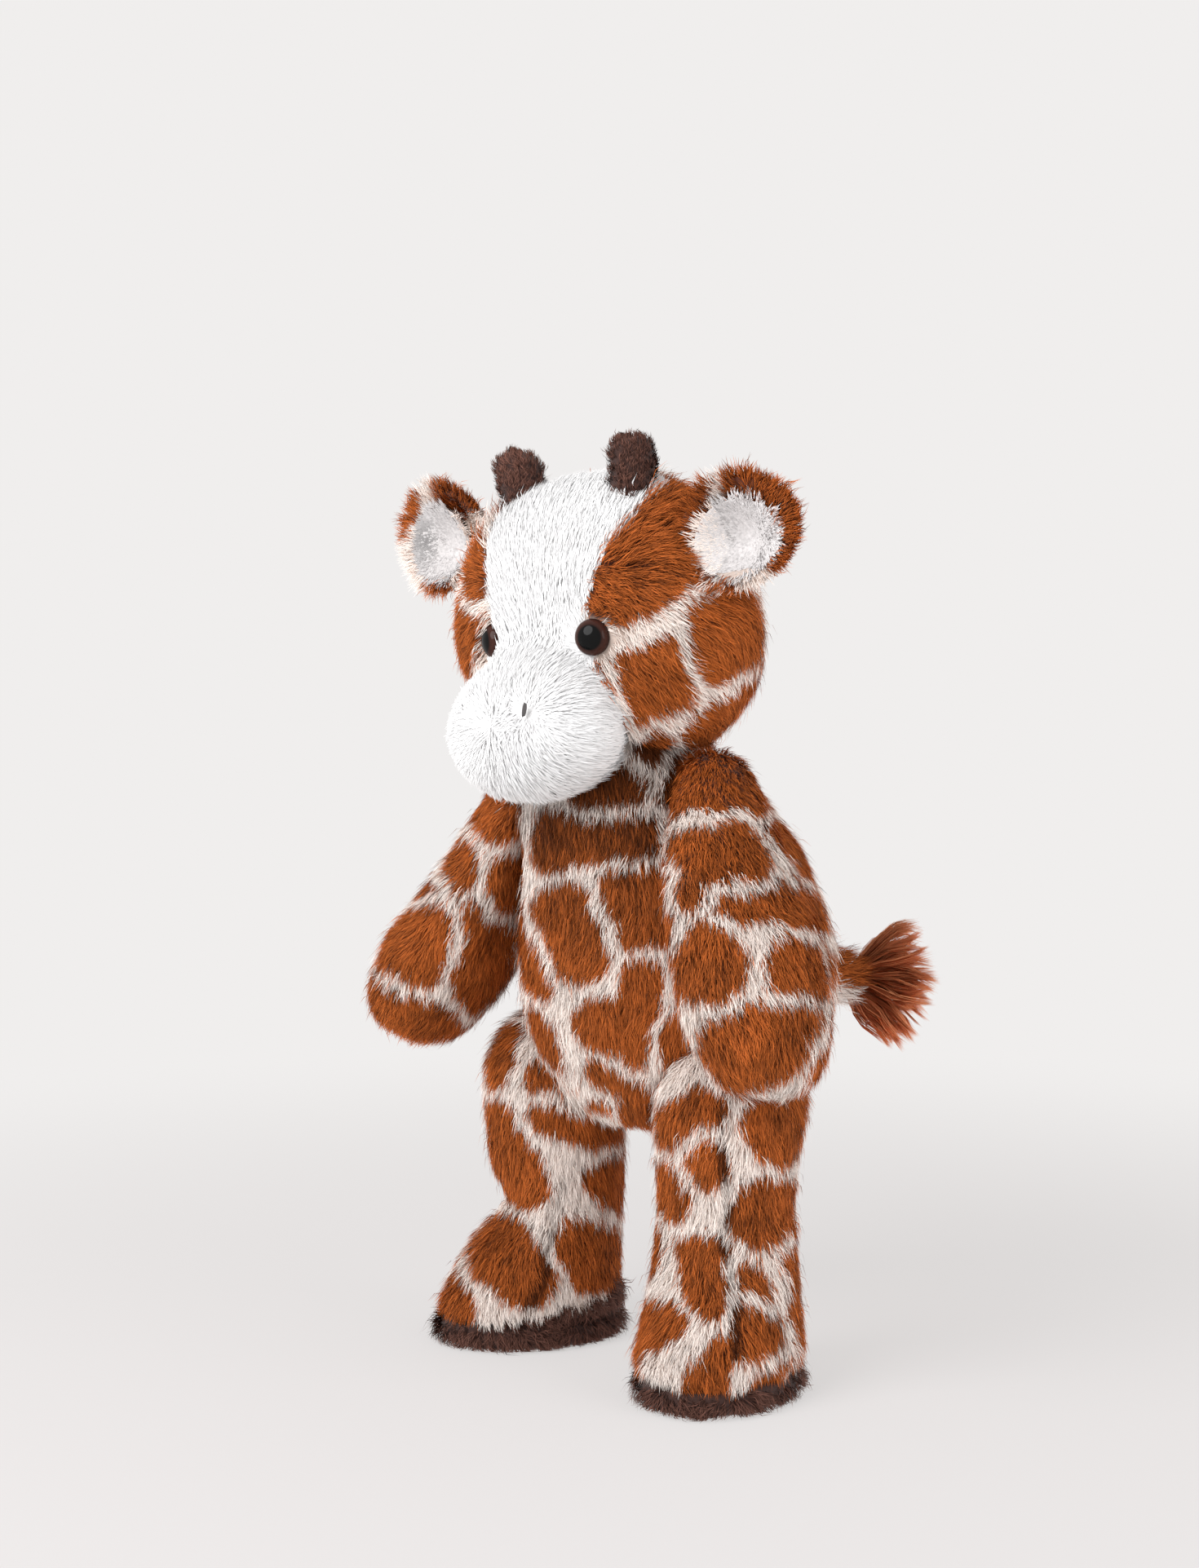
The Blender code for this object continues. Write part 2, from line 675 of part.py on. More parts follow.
def make_head(toy, neck):
    """The head's skin, its white face panel and the fibre inside them."""
    skin = toy.piece("head_skin", HEAD.mesh("head_skin", SKIN_FACETS), RUST_PLUSH, neck, HEAD_PLACE)
    fibre = HEAD.mesh("head_filling", INNER_FACETS, CLOTH + FIBRE_GAP)
    filling = toy.piece("head_filling", fibre, FIBRE, neck, HEAD_PLACE)
    panel = toy.piece("face_panel", HEAD.mesh("face_panel", SKIN_FACETS), WHITE_PLUSH, neck, HEAD_PLACE)
    hollow = toy.cutter("head_hollow", HEAD.mesh("head_hollow", INNER_FACETS, CLOTH), HEAD_PLACE)
    muzzle = toy.cutter("muzzle", MUZZLE.mesh("muzzle", LIMB_FACETS), MUZZLE_PLACE)
    muzzle_room = toy.cutter("muzzle_room", MUZZLE.mesh("muzzle_room", LIMB_FACETS, -GAP), MUZZLE_PLACE)
    muzzle_hollow = toy.cutter(
        "muzzle_hollow", MUZZLE.mesh("muzzle_hollow", INNER_FACETS, CLOTH), MUZZLE_PLACE
    )
    muzzle_fill = toy.cutter(
        "muzzle_fill", MUZZLE.mesh("muzzle_fill", INNER_FACETS, CLOTH + FIBRE_GAP), MUZZLE_PLACE
    )
    clearance = neck_clearance(toy)
    boolean(skin, hollow, "DIFFERENCE")
    boolean(skin, blaze_prism(toy, "blaze_opening", GAP), "DIFFERENCE")
    boolean(skin, muzzle_room, "DIFFERENCE")
    boolean(panel, blaze_prism(toy, "blaze", 0.0), "INTERSECT")
    boolean(panel, muzzle, "UNION")
    boolean(panel, hollow, "DIFFERENCE")
    boolean(panel, muzzle_hollow, "DIFFERENCE")
    boolean(filling, muzzle_fill, "UNION")
    for item in (skin, panel, filling):
        boolean(item, clearance, "DIFFERENCE")
    make_eyes(toy, neck, (skin, panel, filling))
    make_nostrils(toy, neck, panel)


def make_horns(toy, neck, room):
    """Two short plush horns that stand on the crown."""
    for side, word in ((1, "left"), (-1, "right")):
        across = side * HORN_X_SHARE * HEAD_HALF_WIDTH
        forward = HORN_FORWARD_SHARE * HEAD_HALF_DEPTH
        top = HEAD_BOTTOM + HEAD_HEIGHT + HORN_RISE
        place = Matrix.Translation((across, HEAD_Y - forward, top))
        horn = toy.piece("horn_" + word, bpy.data.meshes.new("horn_" + word), BROWN_PLUSH, neck, place)
        cap = arc((0.0, -HORN_RADIUS), HORN_RADIUS, 90.0, 0.0, 6)
        waist = HORN_RADIUS * HORN_WAIST_SHARE
        turned(horn, cap + [(waist, -HORN_LENGTH * 0.6), (waist, -HORN_LENGTH), (0.0, -HORN_LENGTH)])
        boolean(horn, room, "DIFFERENCE")


def cupped(name, side, half_width, half_height, half_thickness, spare=0.0):
    """A flattened disc whose free edges come forward, in the ear's own frame."""
    bm = bmesh.new()
    bmesh.ops.create_uvsphere(bm, u_segments=18, v_segments=10, radius=1.0)
    for vert in bm.verts:
        rim = EAR_CUP if vert.co.x * side > 0.0 else EAR_CUP * EAR_ROOT_CUP_SHARE
        cup = rim * (vert.co.x * half_width / EAR_HALF_WIDTH) ** 2
        cup += EAR_CUP * (vert.co.y * half_height / EAR_HALF_HEIGHT) ** 2
        x = vert.co.x * (half_width + spare)
        z = vert.co.y * (half_height + spare)
        vert.co = Vector((x, -vert.co.z * (half_thickness + spare) - cup, z))
    return mesh_from(bm, name)


def ear_height(side):
    """The height of an ear's middle."""
    return HEAD_BOTTOM + HEAD_HEIGHT * (EAR_LEFT_SHARE if side > 0 else EAR_RIGHT_SHARE)


def ear_place(side):
    """An ear's frame: its own +X points away from the head and -Y is the way it faces."""
    turn = Matrix.Rotation(math.radians(side * EAR_TURN), 4, "Z")
    tilt = Matrix.Rotation(math.radians(-side * EAR_TILT), 4, "Y")
    across = side * (HEAD_HALF_WIDTH + EAR_REACH)
    return Matrix.Translation((across, EAR_Y, ear_height(side))) @ turn @ tilt


def ear_root(side):
    """The point on the head's side that the ear bends about: on the ear's own line, at the cloth."""
    place = ear_place(side)
    wide, deep, middle = HEAD.ring((ear_height(side) - HEAD_BOTTOM) / HEAD_HEIGHT)
    start = place @ Vector((-side * EAR_HALF_WIDTH, 0.0, 0.0))
    share = min(abs(start.y - HEAD_Y - middle) / deep, 1.0)
    across = wide * (1.0 - share ** HEAD_SQUARE) ** (1.0 / HEAD_SQUARE)
    return Vector((side * (across + GAP), start.y, start.z))


def make_ears(toy, neck, room):
    """Two cupped ears, each bending a little at its root in the head's side."""
    for side, word in ((1, "left"), (-1, "right")):
        place = ear_place(side)
        root = ear_root(side)
        hinge = toy.empty("ear_hinge_" + word, root, neck)
        back = cupped("ear_" + word, side, EAR_HALF_WIDTH, EAR_HALF_HEIGHT, EAR_HALF_THICKNESS)
        ear = toy.piece("ear_" + word, back, RUST_PLUSH, hinge, place)
        shift = Matrix.Translation((0.0, -LINING_SHIFT, 0.0))
        sizes = (side, LINING_HALF_WIDTH, LINING_HALF_HEIGHT, LINING_HALF_THICKNESS)
        shape = cupped("ear_lining_" + word, *sizes)
        lining = toy.piece("ear_lining_" + word, shape, LINING_PLUSH, hinge, place @ shift)
        bed = toy.cutter("ear_bed_" + word, cupped("ear_bed", *sizes, GAP), place @ shift)
        boolean(ear, bed, "DIFFERENCE")
        boolean(ear, room, "DIFFERENCE")
        for number, degrees in enumerate(EAR_SWINGS):
            turn = Matrix.Rotation(math.radians(degrees), 4, "Z")
            turned_room = Matrix.Translation(root) @ turn @ Matrix.Translation(-root) @ HEAD_PLACE
            way = toy.cutter("ear_way_" + word + "_" + str(number), room.data.copy(), turned_room)
            boolean(ear, way, "DIFFERENCE")
            boolean(lining, way, "DIFFERENCE")


def make_arms(toy):
    """Two arms, each with its fibre, flat where they are sewn to the body's flank."""
    for side, word in ((1, "left"), (-1, "right")):
        normal, seam = shoulder_normal(side), shoulder_place(side)
        joint = toy.empty("shoulder_" + word, seam, toy.origin)
        forward = Matrix.Rotation(math.radians(-ARM_LEAN_FORWARD), 4, "X")
        out = Matrix.Rotation(math.radians(-side * ARM_LEAN_OUT), 4, "Y")
        hand = Vector((side * ARM_HAND_X, ARM_HAND_Y, NECK_Z - ARM_HAND_DROP))
        place = Matrix.Translation(hand) @ forward @ out
        skin = toy.piece("arm_skin_" + word, ARM.mesh("arm_skin", LIMB_FACETS), RUST_PLUSH, joint, place)
        hollow = toy.cutter("arm_hollow_" + word, ARM.mesh("arm_hollow", INNER_FACETS, CLOTH), place)
        fibre = ARM.mesh("arm_filling", INNER_FACETS, CLOTH + FIBRE_GAP)
        filling = toy.piece("arm_filling_" + word, fibre, FIBRE, joint, place)
        wall = block("flank", (-WORLD_REACH, -WORLD_REACH, -WORLD_REACH), (WORLD_REACH, WORLD_REACH, 0.0))
        flank = toy.cutter("flank_" + word, wall, aim(seam, normal))
        boolean(skin, hollow, "DIFFERENCE")
        boolean(skin, flank, "DIFFERENCE")
        boolean(filling, flank, "DIFFERENCE")


def sole_outline():
    """Half width, half length and middle of the foot where it meets the sole."""
    return LEG.ring((SOLE_THICKNESS - LEG_BOTTOM) / LEG_HEIGHT)


def make_sole(toy, word, hinge, place):
    """The sole: a flat pad with a rounded lower edge."""
    across, along, middle = sole_outline()
    bm = bmesh.new()
    bmesh.ops.create_cone(
        bm, cap_ends=True, segments=LIMB_FACETS[0], radius1=1.0, radius2=1.0, depth=SOLE_THICKNESS
    )
    for vert in bm.verts:
        vert.co.x *= across
        vert.co.y = vert.co.y * along + middle
    mesh = mesh_from(bm, "sole_" + word)
    lift = Matrix.Translation((0.0, 0.0, SOLE_THICKNESS / 2.0 - LEG_BOTTOM))
    sole = toy.piece("sole_" + word, mesh, BROWN_PLUSH, hinge, place @ lift)
    edge = sole.modifiers.new("rounded_edge", "BEVEL")
    edge.width = SOLE_EDGE
    edge.segments = 2
    edge.limit_method = "ANGLE"
    edge.angle_limit = math.radians(60.0)


def make_legs(toy):
    """Two legs on round hips, with fibre, a bag of pellets in each foot, and soles."""
    for side, word in ((1, "left"), (-1, "right")):
        place, pivot = leg_place(side), hip(side)
        hinge = toy.empty("hip_" + word, pivot, toy.origin)
        skin = toy.piece("leg_skin_" + word, LEG.mesh("leg_skin", LIMB_FACETS), RUST_PLUSH, hinge, place)
        fibre = LEG.mesh("leg_filling", INNER_FACETS, CLOTH + FIBRE_GAP)
        lower = Matrix.Translation((0.0, 0.0, -FIBRE_GAP))  # the fibre keeps its distance over the instep
        filling = toy.piece("leg_filling_" + word, fibre, FIBRE, hinge, place @ lower)
        hollow = toy.cutter("leg_hollow_" + word, LEG.mesh("leg_hollow", INNER_FACETS, CLOTH), place)
        low = (-WORLD_REACH, -WORLD_REACH, -WORLD_REACH)
        end = block("foot_end", low, (WORLD_REACH, WORLD_REACH, SOLE_THICKNESS + GAP))
        floor = toy.cutter("foot_end_" + word, end)
        boolean(skin, hollow, "DIFFERENCE")
        boolean(skin, floor, "DIFFERENCE")
        boolean(filling, floor, "DIFFERENCE")
        make_sole(toy, word, hinge, place)
        make_bag(toy, word, hinge, place, filling)


def make_bag(toy, word, hinge, place, filling):
    """The bag of pellets that weights a foot, lying on the sole."""
    across, along, middle = sole_outline()
    lift = SOLE_THICKNESS + GAP + BAG_HEIGHT / 2.0 - LEG_BOTTOM
    name = "foot_bag_" + word
    for spare in (0.0, GAP):
        mesh = ball(name, 1.0, INNER_FACETS)
        sizes = (BAG_HALF_WIDTH + spare, BAG_HALF_LENGTH + spare, BAG_HEIGHT / 2.0 + spare, 1.0)
        mesh.transform(Matrix.Diagonal(sizes))
        lying = place @ Matrix.Translation((0.0, middle, lift))
        if spare:
            boolean(filling, toy.cutter(name + "_room", mesh, lying), "DIFFERENCE")
        else:
            toy.piece(name, mesh, BAG_CLOTH, hinge, lying)


def make_tail(toy):
    """The tail with its round root, and the tassel on its end."""
    root = tail_root()
    hinge = toy.empty("tail_hinge", root, toy.origin)
    place = aim(root, tail_direction())
    tail = toy.piece("tail", bpy.data.meshes.new("tail"), RUST_PLUSH, hinge, place)
    tip = [(0.0, TAIL_LENGTH), (TAIL_TIP_RADIUS, TAIL_LENGTH)]
    narrow = math.degrees(math.acos(TAIL_RADIUS / TAIL_BALL_RADIUS))
    turned(tail, tip + arc((0.0, 0.0), TAIL_BALL_RADIUS, narrow, -90.0, 9))
    name = "tail_tassel"
    start = place @ Matrix.Translation((0.0, 0.0, TAIL_LENGTH + GAP))
    tassel = toy.piece(name, bpy.data.meshes.new(name), TASSEL_YARN, hinge, start)
    profile = [(wide * TASSEL_RADIUS, along * TASSEL_LENGTH) for along, wide in TASSEL_SHARES]
    turned(tassel, profile)


def stand_on_origin(toy):
    """Move the toy so that the middle of its box's underside is the origin."""
    bpy.context.view_layer.update()
    graph = bpy.context.evaluated_depsgraph_get()
    points = []
    for item in toy.parts.objects:
        if item.type == "MESH":
            solid = item.evaluated_get(graph)
            points += [solid.matrix_world @ vert.co for vert in solid.data.vertices]
    low = Vector([min(point[i] for point in points) for i in range(3)])
    high = Vector([max(point[i] for point in points) for i in range(3)])
    toy.origin.location = -Vector(((low.x + high.x) / 2.0, (low.y + high.y) / 2.0, low.z))
    bpy.context.view_layer.update()


def main():
    """Build the toy."""
    clear_scene()
    toy = Toy()
    make_body(toy)
    neck = toy.empty("neck_joint", NECK, toy.origin)
    make_head(toy, neck)
    room = toy.cutter("head_room", HEAD.mesh("head_room", SKIN_FACETS, -GAP), HEAD_PLACE)
    make_horns(toy, neck, room)
    make_ears(toy, neck, room)
    make_arms(toy)
    make_legs(toy)
    make_tail(toy)
    stand_on_origin(toy)


main()
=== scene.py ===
"""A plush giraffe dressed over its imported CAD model: stuffed skins, long patched pile, eyes, horns and tassel.

Laid out as an add-on and run as a script. Lengths are metres, +Z is up and the toy faces -Y.
Its own left side is at +X.
"""
import math

import bmesh
import bpy
import numpy as np
from mathutils import Matrix, Vector
from mathutils.bvhtree import BVHTree
from mathutils.kdtree import KDTree


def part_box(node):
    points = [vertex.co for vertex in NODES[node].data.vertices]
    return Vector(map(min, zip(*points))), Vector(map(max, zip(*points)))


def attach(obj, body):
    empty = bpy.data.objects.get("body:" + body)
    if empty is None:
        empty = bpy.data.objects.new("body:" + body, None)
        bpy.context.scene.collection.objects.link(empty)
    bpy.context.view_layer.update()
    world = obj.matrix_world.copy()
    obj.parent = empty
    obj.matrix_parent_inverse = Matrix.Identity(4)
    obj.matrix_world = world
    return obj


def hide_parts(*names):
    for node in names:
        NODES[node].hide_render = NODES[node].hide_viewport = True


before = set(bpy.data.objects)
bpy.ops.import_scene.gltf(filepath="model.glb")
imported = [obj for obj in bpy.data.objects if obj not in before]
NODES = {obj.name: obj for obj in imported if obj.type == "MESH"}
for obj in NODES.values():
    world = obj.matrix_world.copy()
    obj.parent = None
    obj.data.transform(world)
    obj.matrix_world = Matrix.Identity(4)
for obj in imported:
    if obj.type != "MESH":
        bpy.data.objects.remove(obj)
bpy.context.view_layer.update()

bl_info = {
    "name": "Plush giraffe",
    "version": (1, 0, 0),
    "blender": (4, 5, 0),
    "location": "3D View > Sidebar > Giraffe",
    "description": "Dresses the giraffe's frame with skins, pile, face and tassel",
    "category": "Object",
}

SIDES = ((1, "left"), (-1, "right"))
PHOTO_WIDTH, PHOTO_HEIGHT = 1470, 1923
SENSOR = 36.0
UV_NAME = "OFBake"

# Patches of rust pile on the side that the photograph shows. Each inner list is one patch, made of strokes:
# a half width and the points that the stroke runs through, in pixels of the photograph.
PATCHES = (
    # Head
    (
        (30, (815, 615), (818, 680)), (30, (745, 722), (830, 680)), (22, (768, 742), (845, 703)),
        (15, (852, 585), (838, 640)), (18, (765, 672), (800, 640)),
    ),
    ((28, (880, 762), (893, 798)), (14, (892, 738), (912, 765)), (12, (862, 762), (880, 826))),
    ((29, (797, 828), (812, 845)), (15, (776, 822), (788, 872)), (12, (822, 800), (838, 858))),
    ((17, (914, 852), (858, 890)),),
    ((16, (802, 908), (794, 932)),),
    ((7, (737, 826), (748, 860), (757, 888)),),
    ((12, (584, 682), (585, 732)),),
    ((20, (572, 765), (566, 800)),),
    # Ears
    ((15, (905, 584), (950, 605), (976, 655), (970, 688)),),
    ((16, (556, 602), (600, 606)),),
    ((11, (498, 622), (500, 626)),),
    ((8, (540, 728), (546, 730)),),
    # Neck, chest and belly
    ((25, (735, 975), (768, 972)),),
    ((32, (848, 962), (895, 962)), (12, (815, 975), (835, 985)), (14, (905, 950), (925, 985))),
    ((17, (596, 990), (604, 1024)), (9, (632, 1000), (633, 1018))),
    ((27, (694, 1032), (772, 1028)), (14, (680, 1055), (682, 1012)), (12, (790, 1020), (794, 1040))),
    ((29, (697, 1116), (716, 1176)),),
    ((28, (775, 1100), (800, 1132)), (11, (756, 1078), (820, 1080)), (9, (775, 1155), (828, 1154))),
    ((19, (790, 1198), (785, 1240)), (27, (742, 1256), (768, 1262)), (14, (784, 1240), (784, 1294))),
    ((14, (646, 1166), (668, 1212)),),
    ((12, (662, 1250), (673, 1264)), (9, (676, 1282), (700, 1320), (712, 1344))),
    ((10, (732, 1316), (768, 1328)), (16, (776, 1342), (774, 1368))),
    ((15, (952, 1026), (984, 1072)),),
    ((17, (1006, 1282), (994, 1338)),),
    # Left arm
    ((30, (858, 1060), (898, 1054)), (13, (843, 1092), (850, 1104)), (18, (902, 1040), (922, 1068))),
    ((15, (896, 1120), (955, 1120)), (23, (962, 1116), (988, 1122))),
    ((34, (870, 1178), (878, 1200)),),
    ((29, (974, 1190), (988, 1195)), (12, (960, 1212), (1000, 1216))),
    ((40, (912, 1288), (945, 1284)), (26, (965, 1272), (982, 1268))),
    ((15, (828, 1264), (822, 1290)),),
    # Right arm
    ((15, (578, 1050), (562, 1082)),),
    ((7, (508, 1104), (536, 1090)),),
    ((15, (621, 1070), (613, 1112)),),
    ((27, (516, 1146), (500, 1168)), (14, (546, 1136), (520, 1196)), (11, (478, 1180), (482, 1182))),
    ((25, (602, 1150), (592, 1200)), (14, (580, 1126), (574, 1224))),
    ((22, (478, 1244), (522, 1252)), (13, (462, 1222), (470, 1240)), (12, (540, 1246), (546, 1248))),
    # Right leg
    ((12, (625, 1276), (614, 1322)),),
    ((14, (664, 1324), (692, 1330)), (8, (702, 1346), (750, 1358))),
    ((20, (614, 1376), (624, 1410)), (23, (638, 1428), (648, 1456)), (10, (596, 1370), (598, 1402))),
    ((13, (668, 1370), (700, 1386)), (20, (724, 1386), (744, 1390))),
    ((15, (732, 1450), (754, 1432)), (16, (748, 1470), (756, 1496))),
    ((31, (620, 1532), (644, 1572)), (14, (600, 1522), (600, 1564))),
    ((27, (710, 1530), (724, 1556)), (16, (744, 1512), (744, 1560))),
    ((21, (557, 1594), (561, 1608)),),
    # Left leg
    ((20, (836, 1378), (864, 1366)), (12, (820, 1388), (830, 1402))),
    ((15, (868, 1418), (872, 1440)),),
    ((29, (948, 1372), (953, 1398)), (12, (925, 1380), (975, 1350))),
    ((14, (817, 1440), (832, 1480)),),
    ((33, (938, 1484), (932, 1498)),),
    ((24, (866, 1546), (868, 1590)), (10, (848, 1532), (878, 1608))),
    ((10, (906, 1564), (936, 1590)),),
    ((8, (804, 1512), (808, 1554)),),
    ((19, (794, 1626), (824, 1630)), (13, (788, 1648), (810, 1644))),
    ((20, (920, 1624), (930, 1640)), (14, (886, 1664), (914, 1658)), (11, (860, 1700), (874, 1684))),
    ((14, (944, 1704), (970, 1686)),),
    ((10, (962, 1546), (972, 1536)), (8, (964, 1576), (974, 1620), (984, 1648))),
)

# Where the pile leaves less room for the cloth: the edge (1 right, -1 left in the photograph), the height,
# how far up and down it reaches, and by how much.
SLIMMED = {
    "arm_cloth_left": (1, 0.200, 0.022, 0.0030),
    "arm_cloth_right": (-1, 0.188, 0.032, 0.0100),
    "leg_cloth_left": (1, 0.066, 0.030, 0.0040),
    "leg_cloth_right": (-1, 0.052, 0.012, 0.0090),
}

# The parting down the front of each leg, where the pile is shorter and darkened with painted shade,
# in pixels of the photograph: a half width and its points.
LEG_SEAMS = {
    1: (1, (884, 1345), (890, 1400), (892, 1520), (898, 1650)),
    -1: (1, (690, 1440), (676, 1500), (668, 1545), (640, 1620)),
}
SEAM_SOFT = 8.0

# Shades of a dye, as places on its map and factors.
DEEP_SHADES = ((0.04, 0.22), (0.30, 0.68), (0.60, 1.0), (0.96, 1.60))
MILD_SHADES = ((0.04, 0.50), (0.30, 0.86), (0.60, 1.0), (0.96, 1.06))
EVEN_SHADES = ((0.04, 0.72), (0.50, 1.0), (0.96, 1.12))
# The lining's shades reach down to the painted shade of the ear's hollow.
LINING_AND_PAINTED_CUP_SHADES = ((0.04, 0.44), (0.50, 0.92), (0.96, 1.28))
LOW_ROW, HIGH_ROW = 0.04, 0.96

WELD = 0.00002
SKIN_OVERLAP = 0.0016
PRESSURE, CLOTH_FRAMES = 4.0, 20
LEAST_HEIGHT = 0.0008
ROOT_DEPTH = 0.0007
HORN_SHIFT = np.array((-0.0030, 0.0028, 0.0))
HORN_FOOT = 0.02
LAMP_SIZE = 0.9
SKY_COLOUR = (1.0, 0.99, 0.975, 1.0)
TOY_HEART = Vector((0.0, 0.0, 0.17))


# Settings

def number(name, description, default, **more):
    """A number that a user may change."""
    return bpy.props.FloatProperty(name=name, description=description, default=default, **more)


def length(name, description, default):
    """A length that a user may change."""
    return number(name, description, default, unit="LENGTH", subtype="DISTANCE", precision=4)


def turn(name, description, degrees):
    """An angle that a user may change."""
    return number(name, description, math.radians(degrees), unit="ROTATION", subtype="ANGLE")


def colour(name, description, default):
    """A colour, linear RGB, that a user may change."""
    return bpy.props.FloatVectorProperty(
        name=name, description=description, default=default, size=3, min=0.0, max=1.0, subtype="COLOR"
    )


class GiraffeColours(bpy.types.PropertyGroup):
    """The colours of the pile, cloth and fittings."""

    # Roots darker than tips: partly the pile's own tone, partly painted shade deep in the pile.
    rust_tip: colour("Rust tips", "Outer end of the rust pile", (0.425, 0.105, 0.0190))
    rust_root: colour("Rust roots", "Inner end of the rust pile", (0.12, 0.022, 0.0040))
    cream_tip: colour("Cream tips", "Outer end of the cream pile", (0.93, 0.845, 0.790))
    cream_root: colour("Cream roots", "Inner end of the cream pile", (0.76, 0.61, 0.53))
    white_tip: colour("White tips", "Outer end of the white pile", (0.765, 0.763, 0.767))
    white_root: colour("White roots", "Inner end of the white pile", (0.79, 0.785, 0.79))
    brown_tip: colour("Brown tips", "Outer end of the horns' and soles' pile", (0.150, 0.068, 0.050))
    brown_root: colour("Brown roots", "Inner end of the horns' and soles' pile", (0.045, 0.016, 0.011))
    yarn_tip: colour("Yarn tips", "Outer end of the tassel's yarn", (0.80, 0.33, 0.155))
    yarn_root: colour("Yarn roots", "Inner end of the tassel's yarn", (0.54, 0.16, 0.058))
    eye_ring: colour("Eye ring", "Brown rim of the eyes", (0.052, 0.020, 0.015))
    pupil: colour("Pupil", "Black middle of the eyes", (0.004, 0.004, 0.004))
    thread: colour("Thread", "Embroidery thread of the nostrils", (0.075, 0.068, 0.068))
    # Painted shade of the ears' hollows: the lining's white pile is dyed greyer than the face's.
    lining: colour("Lining", "Pile inside the ears", (0.62, 0.595, 0.595))
    floor: colour("Floor", "Floor and backdrop", (0.871, 0.855, 0.847))
    floor_shade: colour("Floor shade", "Dye of the floor where light and shadow fall", (0.63, 0.593, 0.596))


class GiraffeSizes(bpy.types.PropertyGroup):
    """The sizes of the stuffed skins, the pile and the fittings."""

    edge: length("Patch edge", "How soft the edges of the patches are", 0.0011)
    patch_grow: length("Patch grow", "How much wider the patches are than their strokes", 0.0021)
    least_net: length("Least net", "Width of the cream line where two patches come close", 0.0036)
    voxel: length("Cloth grain", "Mesh size of the stuffed skins", 0.0045)
    pile: length("Pile length", "Length of the long pile", 0.0088)
    pile_rise: length("Pile rise", "How far the tips of the long pile stand off the cloth", 0.0030)
    pile_width: length("Pile width", "Width of one strand at its root", 0.00030)
    tuft: length("Tuft radius", "Radius that the strands of one tuft grow from", 0.0030)
    cup_radius: length("Cup radius", "Radius of the hollow of an ear", 0.0165)
    cup_depth: length("Cup depth", "Depth of the hollow of an ear", 0.0070)
    fringe: length("Ear fringe", "How far from an ear lining's middle the body's pile begins", 0.0075)
    short_pile: length("Short pile", "Length of the ear linings' pile", 0.0022)
    velvet: length("Velvet", "Height of the horns' pile", 0.0016)
    net: length("Cream net", "Width of the cream lines between the patches", 0.0040)
    patch_spread: length("Patch spacing", "Distance between patches where the photo shows none", 0.027)
    eye_radius: length("Eye radius", "Radius of an eye with its ring", 0.0066)
    eye_lift: length("Eye lift", "How far the eyes are pushed out by the pile round them", 0.0014)
    eye_height: length("Eye height", "How far an eye's dome stands up", 0.0048)
    pupil_radius: length("Pupil radius", "Radius of the black middle", 0.0050)
    pupil_shift: length("Pupil shift", "How far outwards the pupil sits in its ring", 0.0009)
    stitch: length("Stitch", "Radius of one nostril thread", 0.00045)
    lock_radius: length("Lock radius", "Radius of one lock of the tassel", 0.0012)
    density: number("Density", "Strands per square millimetre of cloth", 3.28, min=0.1)
    swell: length("Swell", "How far the stuffing may push the cloth out", 0.0010)


class GiraffeStage(bpy.types.PropertyGroup):
    """The camera, the lights and the floor."""

    azimuth: turn("Azimuth", "How far round the toy's left the camera stands", 46.3)
    pitch: turn("Pitch", "How far the camera looks down", 1.8)
    distance: length("Distance", "From the camera to what it looks at", 0.818)
    lens: number("Lens", "Focal length in millimetres", 50.0)
    aim_side: length("Aim side", "How far to its right the camera aims", -0.0110)
    aim_height: length("Aim height", "Height that the camera aims at", 0.2170)
    toy_middle: length("Toy middle", "Where the toy's own middle lies along Y", -0.03664)
    key: number("Key light", "Power in watts", 13.0)
    fill: number("Fill light", "Power in watts", 5.5)
    sky: number("Sky", "Strength of the light all round", 0.56)


# Selecting, copying and modifiers

def take(*pieces):
    """Select some objects alone and make the first active."""
    bpy.ops.object.select_all(action="DESELECT")
    for piece in pieces:
        piece.select_set(True)
    bpy.context.view_layer.objects.active = pieces[0]


def apply_modifier(piece, kind, **settings):
    """Add a modifier, set it and apply it."""
    take(piece)
    bpy.ops.object.modifier_add(type=kind)
    step = piece.modifiers[-1]
    for key, value in settings.items():
        setattr(step, key, value)
    bpy.ops.object.modifier_apply(modifier=step.name)


def edit(piece, step, **settings):
    """Run one editing operator on the whole mesh of a piece."""
    take(piece)
    bpy.ops.object.mode_set(mode="EDIT")
    bpy.ops.mesh.select_all(action="SELECT")
    step(**settings)
    bpy.ops.object.mode_set(mode="OBJECT")


def cad_copy(name, node, smoother=False):
    """A copy of one CAD node, whose loose triangles are welded."""
    mesh = NODES[node].data.copy()
    mesh.materials.clear()
    mesh.name = name
    piece = bpy.data.objects.new(name, mesh)
    bpy.context.scene.collection.objects.link(piece)
    edit(piece, bpy.ops.mesh.remove_doubles, threshold=WELD)
    if smoother:
        apply_modifier(piece, "SUBSURF", levels=1, render_levels=1)
    return piece


def finish_piece(piece, body, slot, *nodes):
    """Shade a piece smooth, let it ride on its body and hide the CAD nodes that it stands for."""
    take(piece)
    bpy.ops.object.shade_smooth()
    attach(piece, body)
    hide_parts(*nodes)


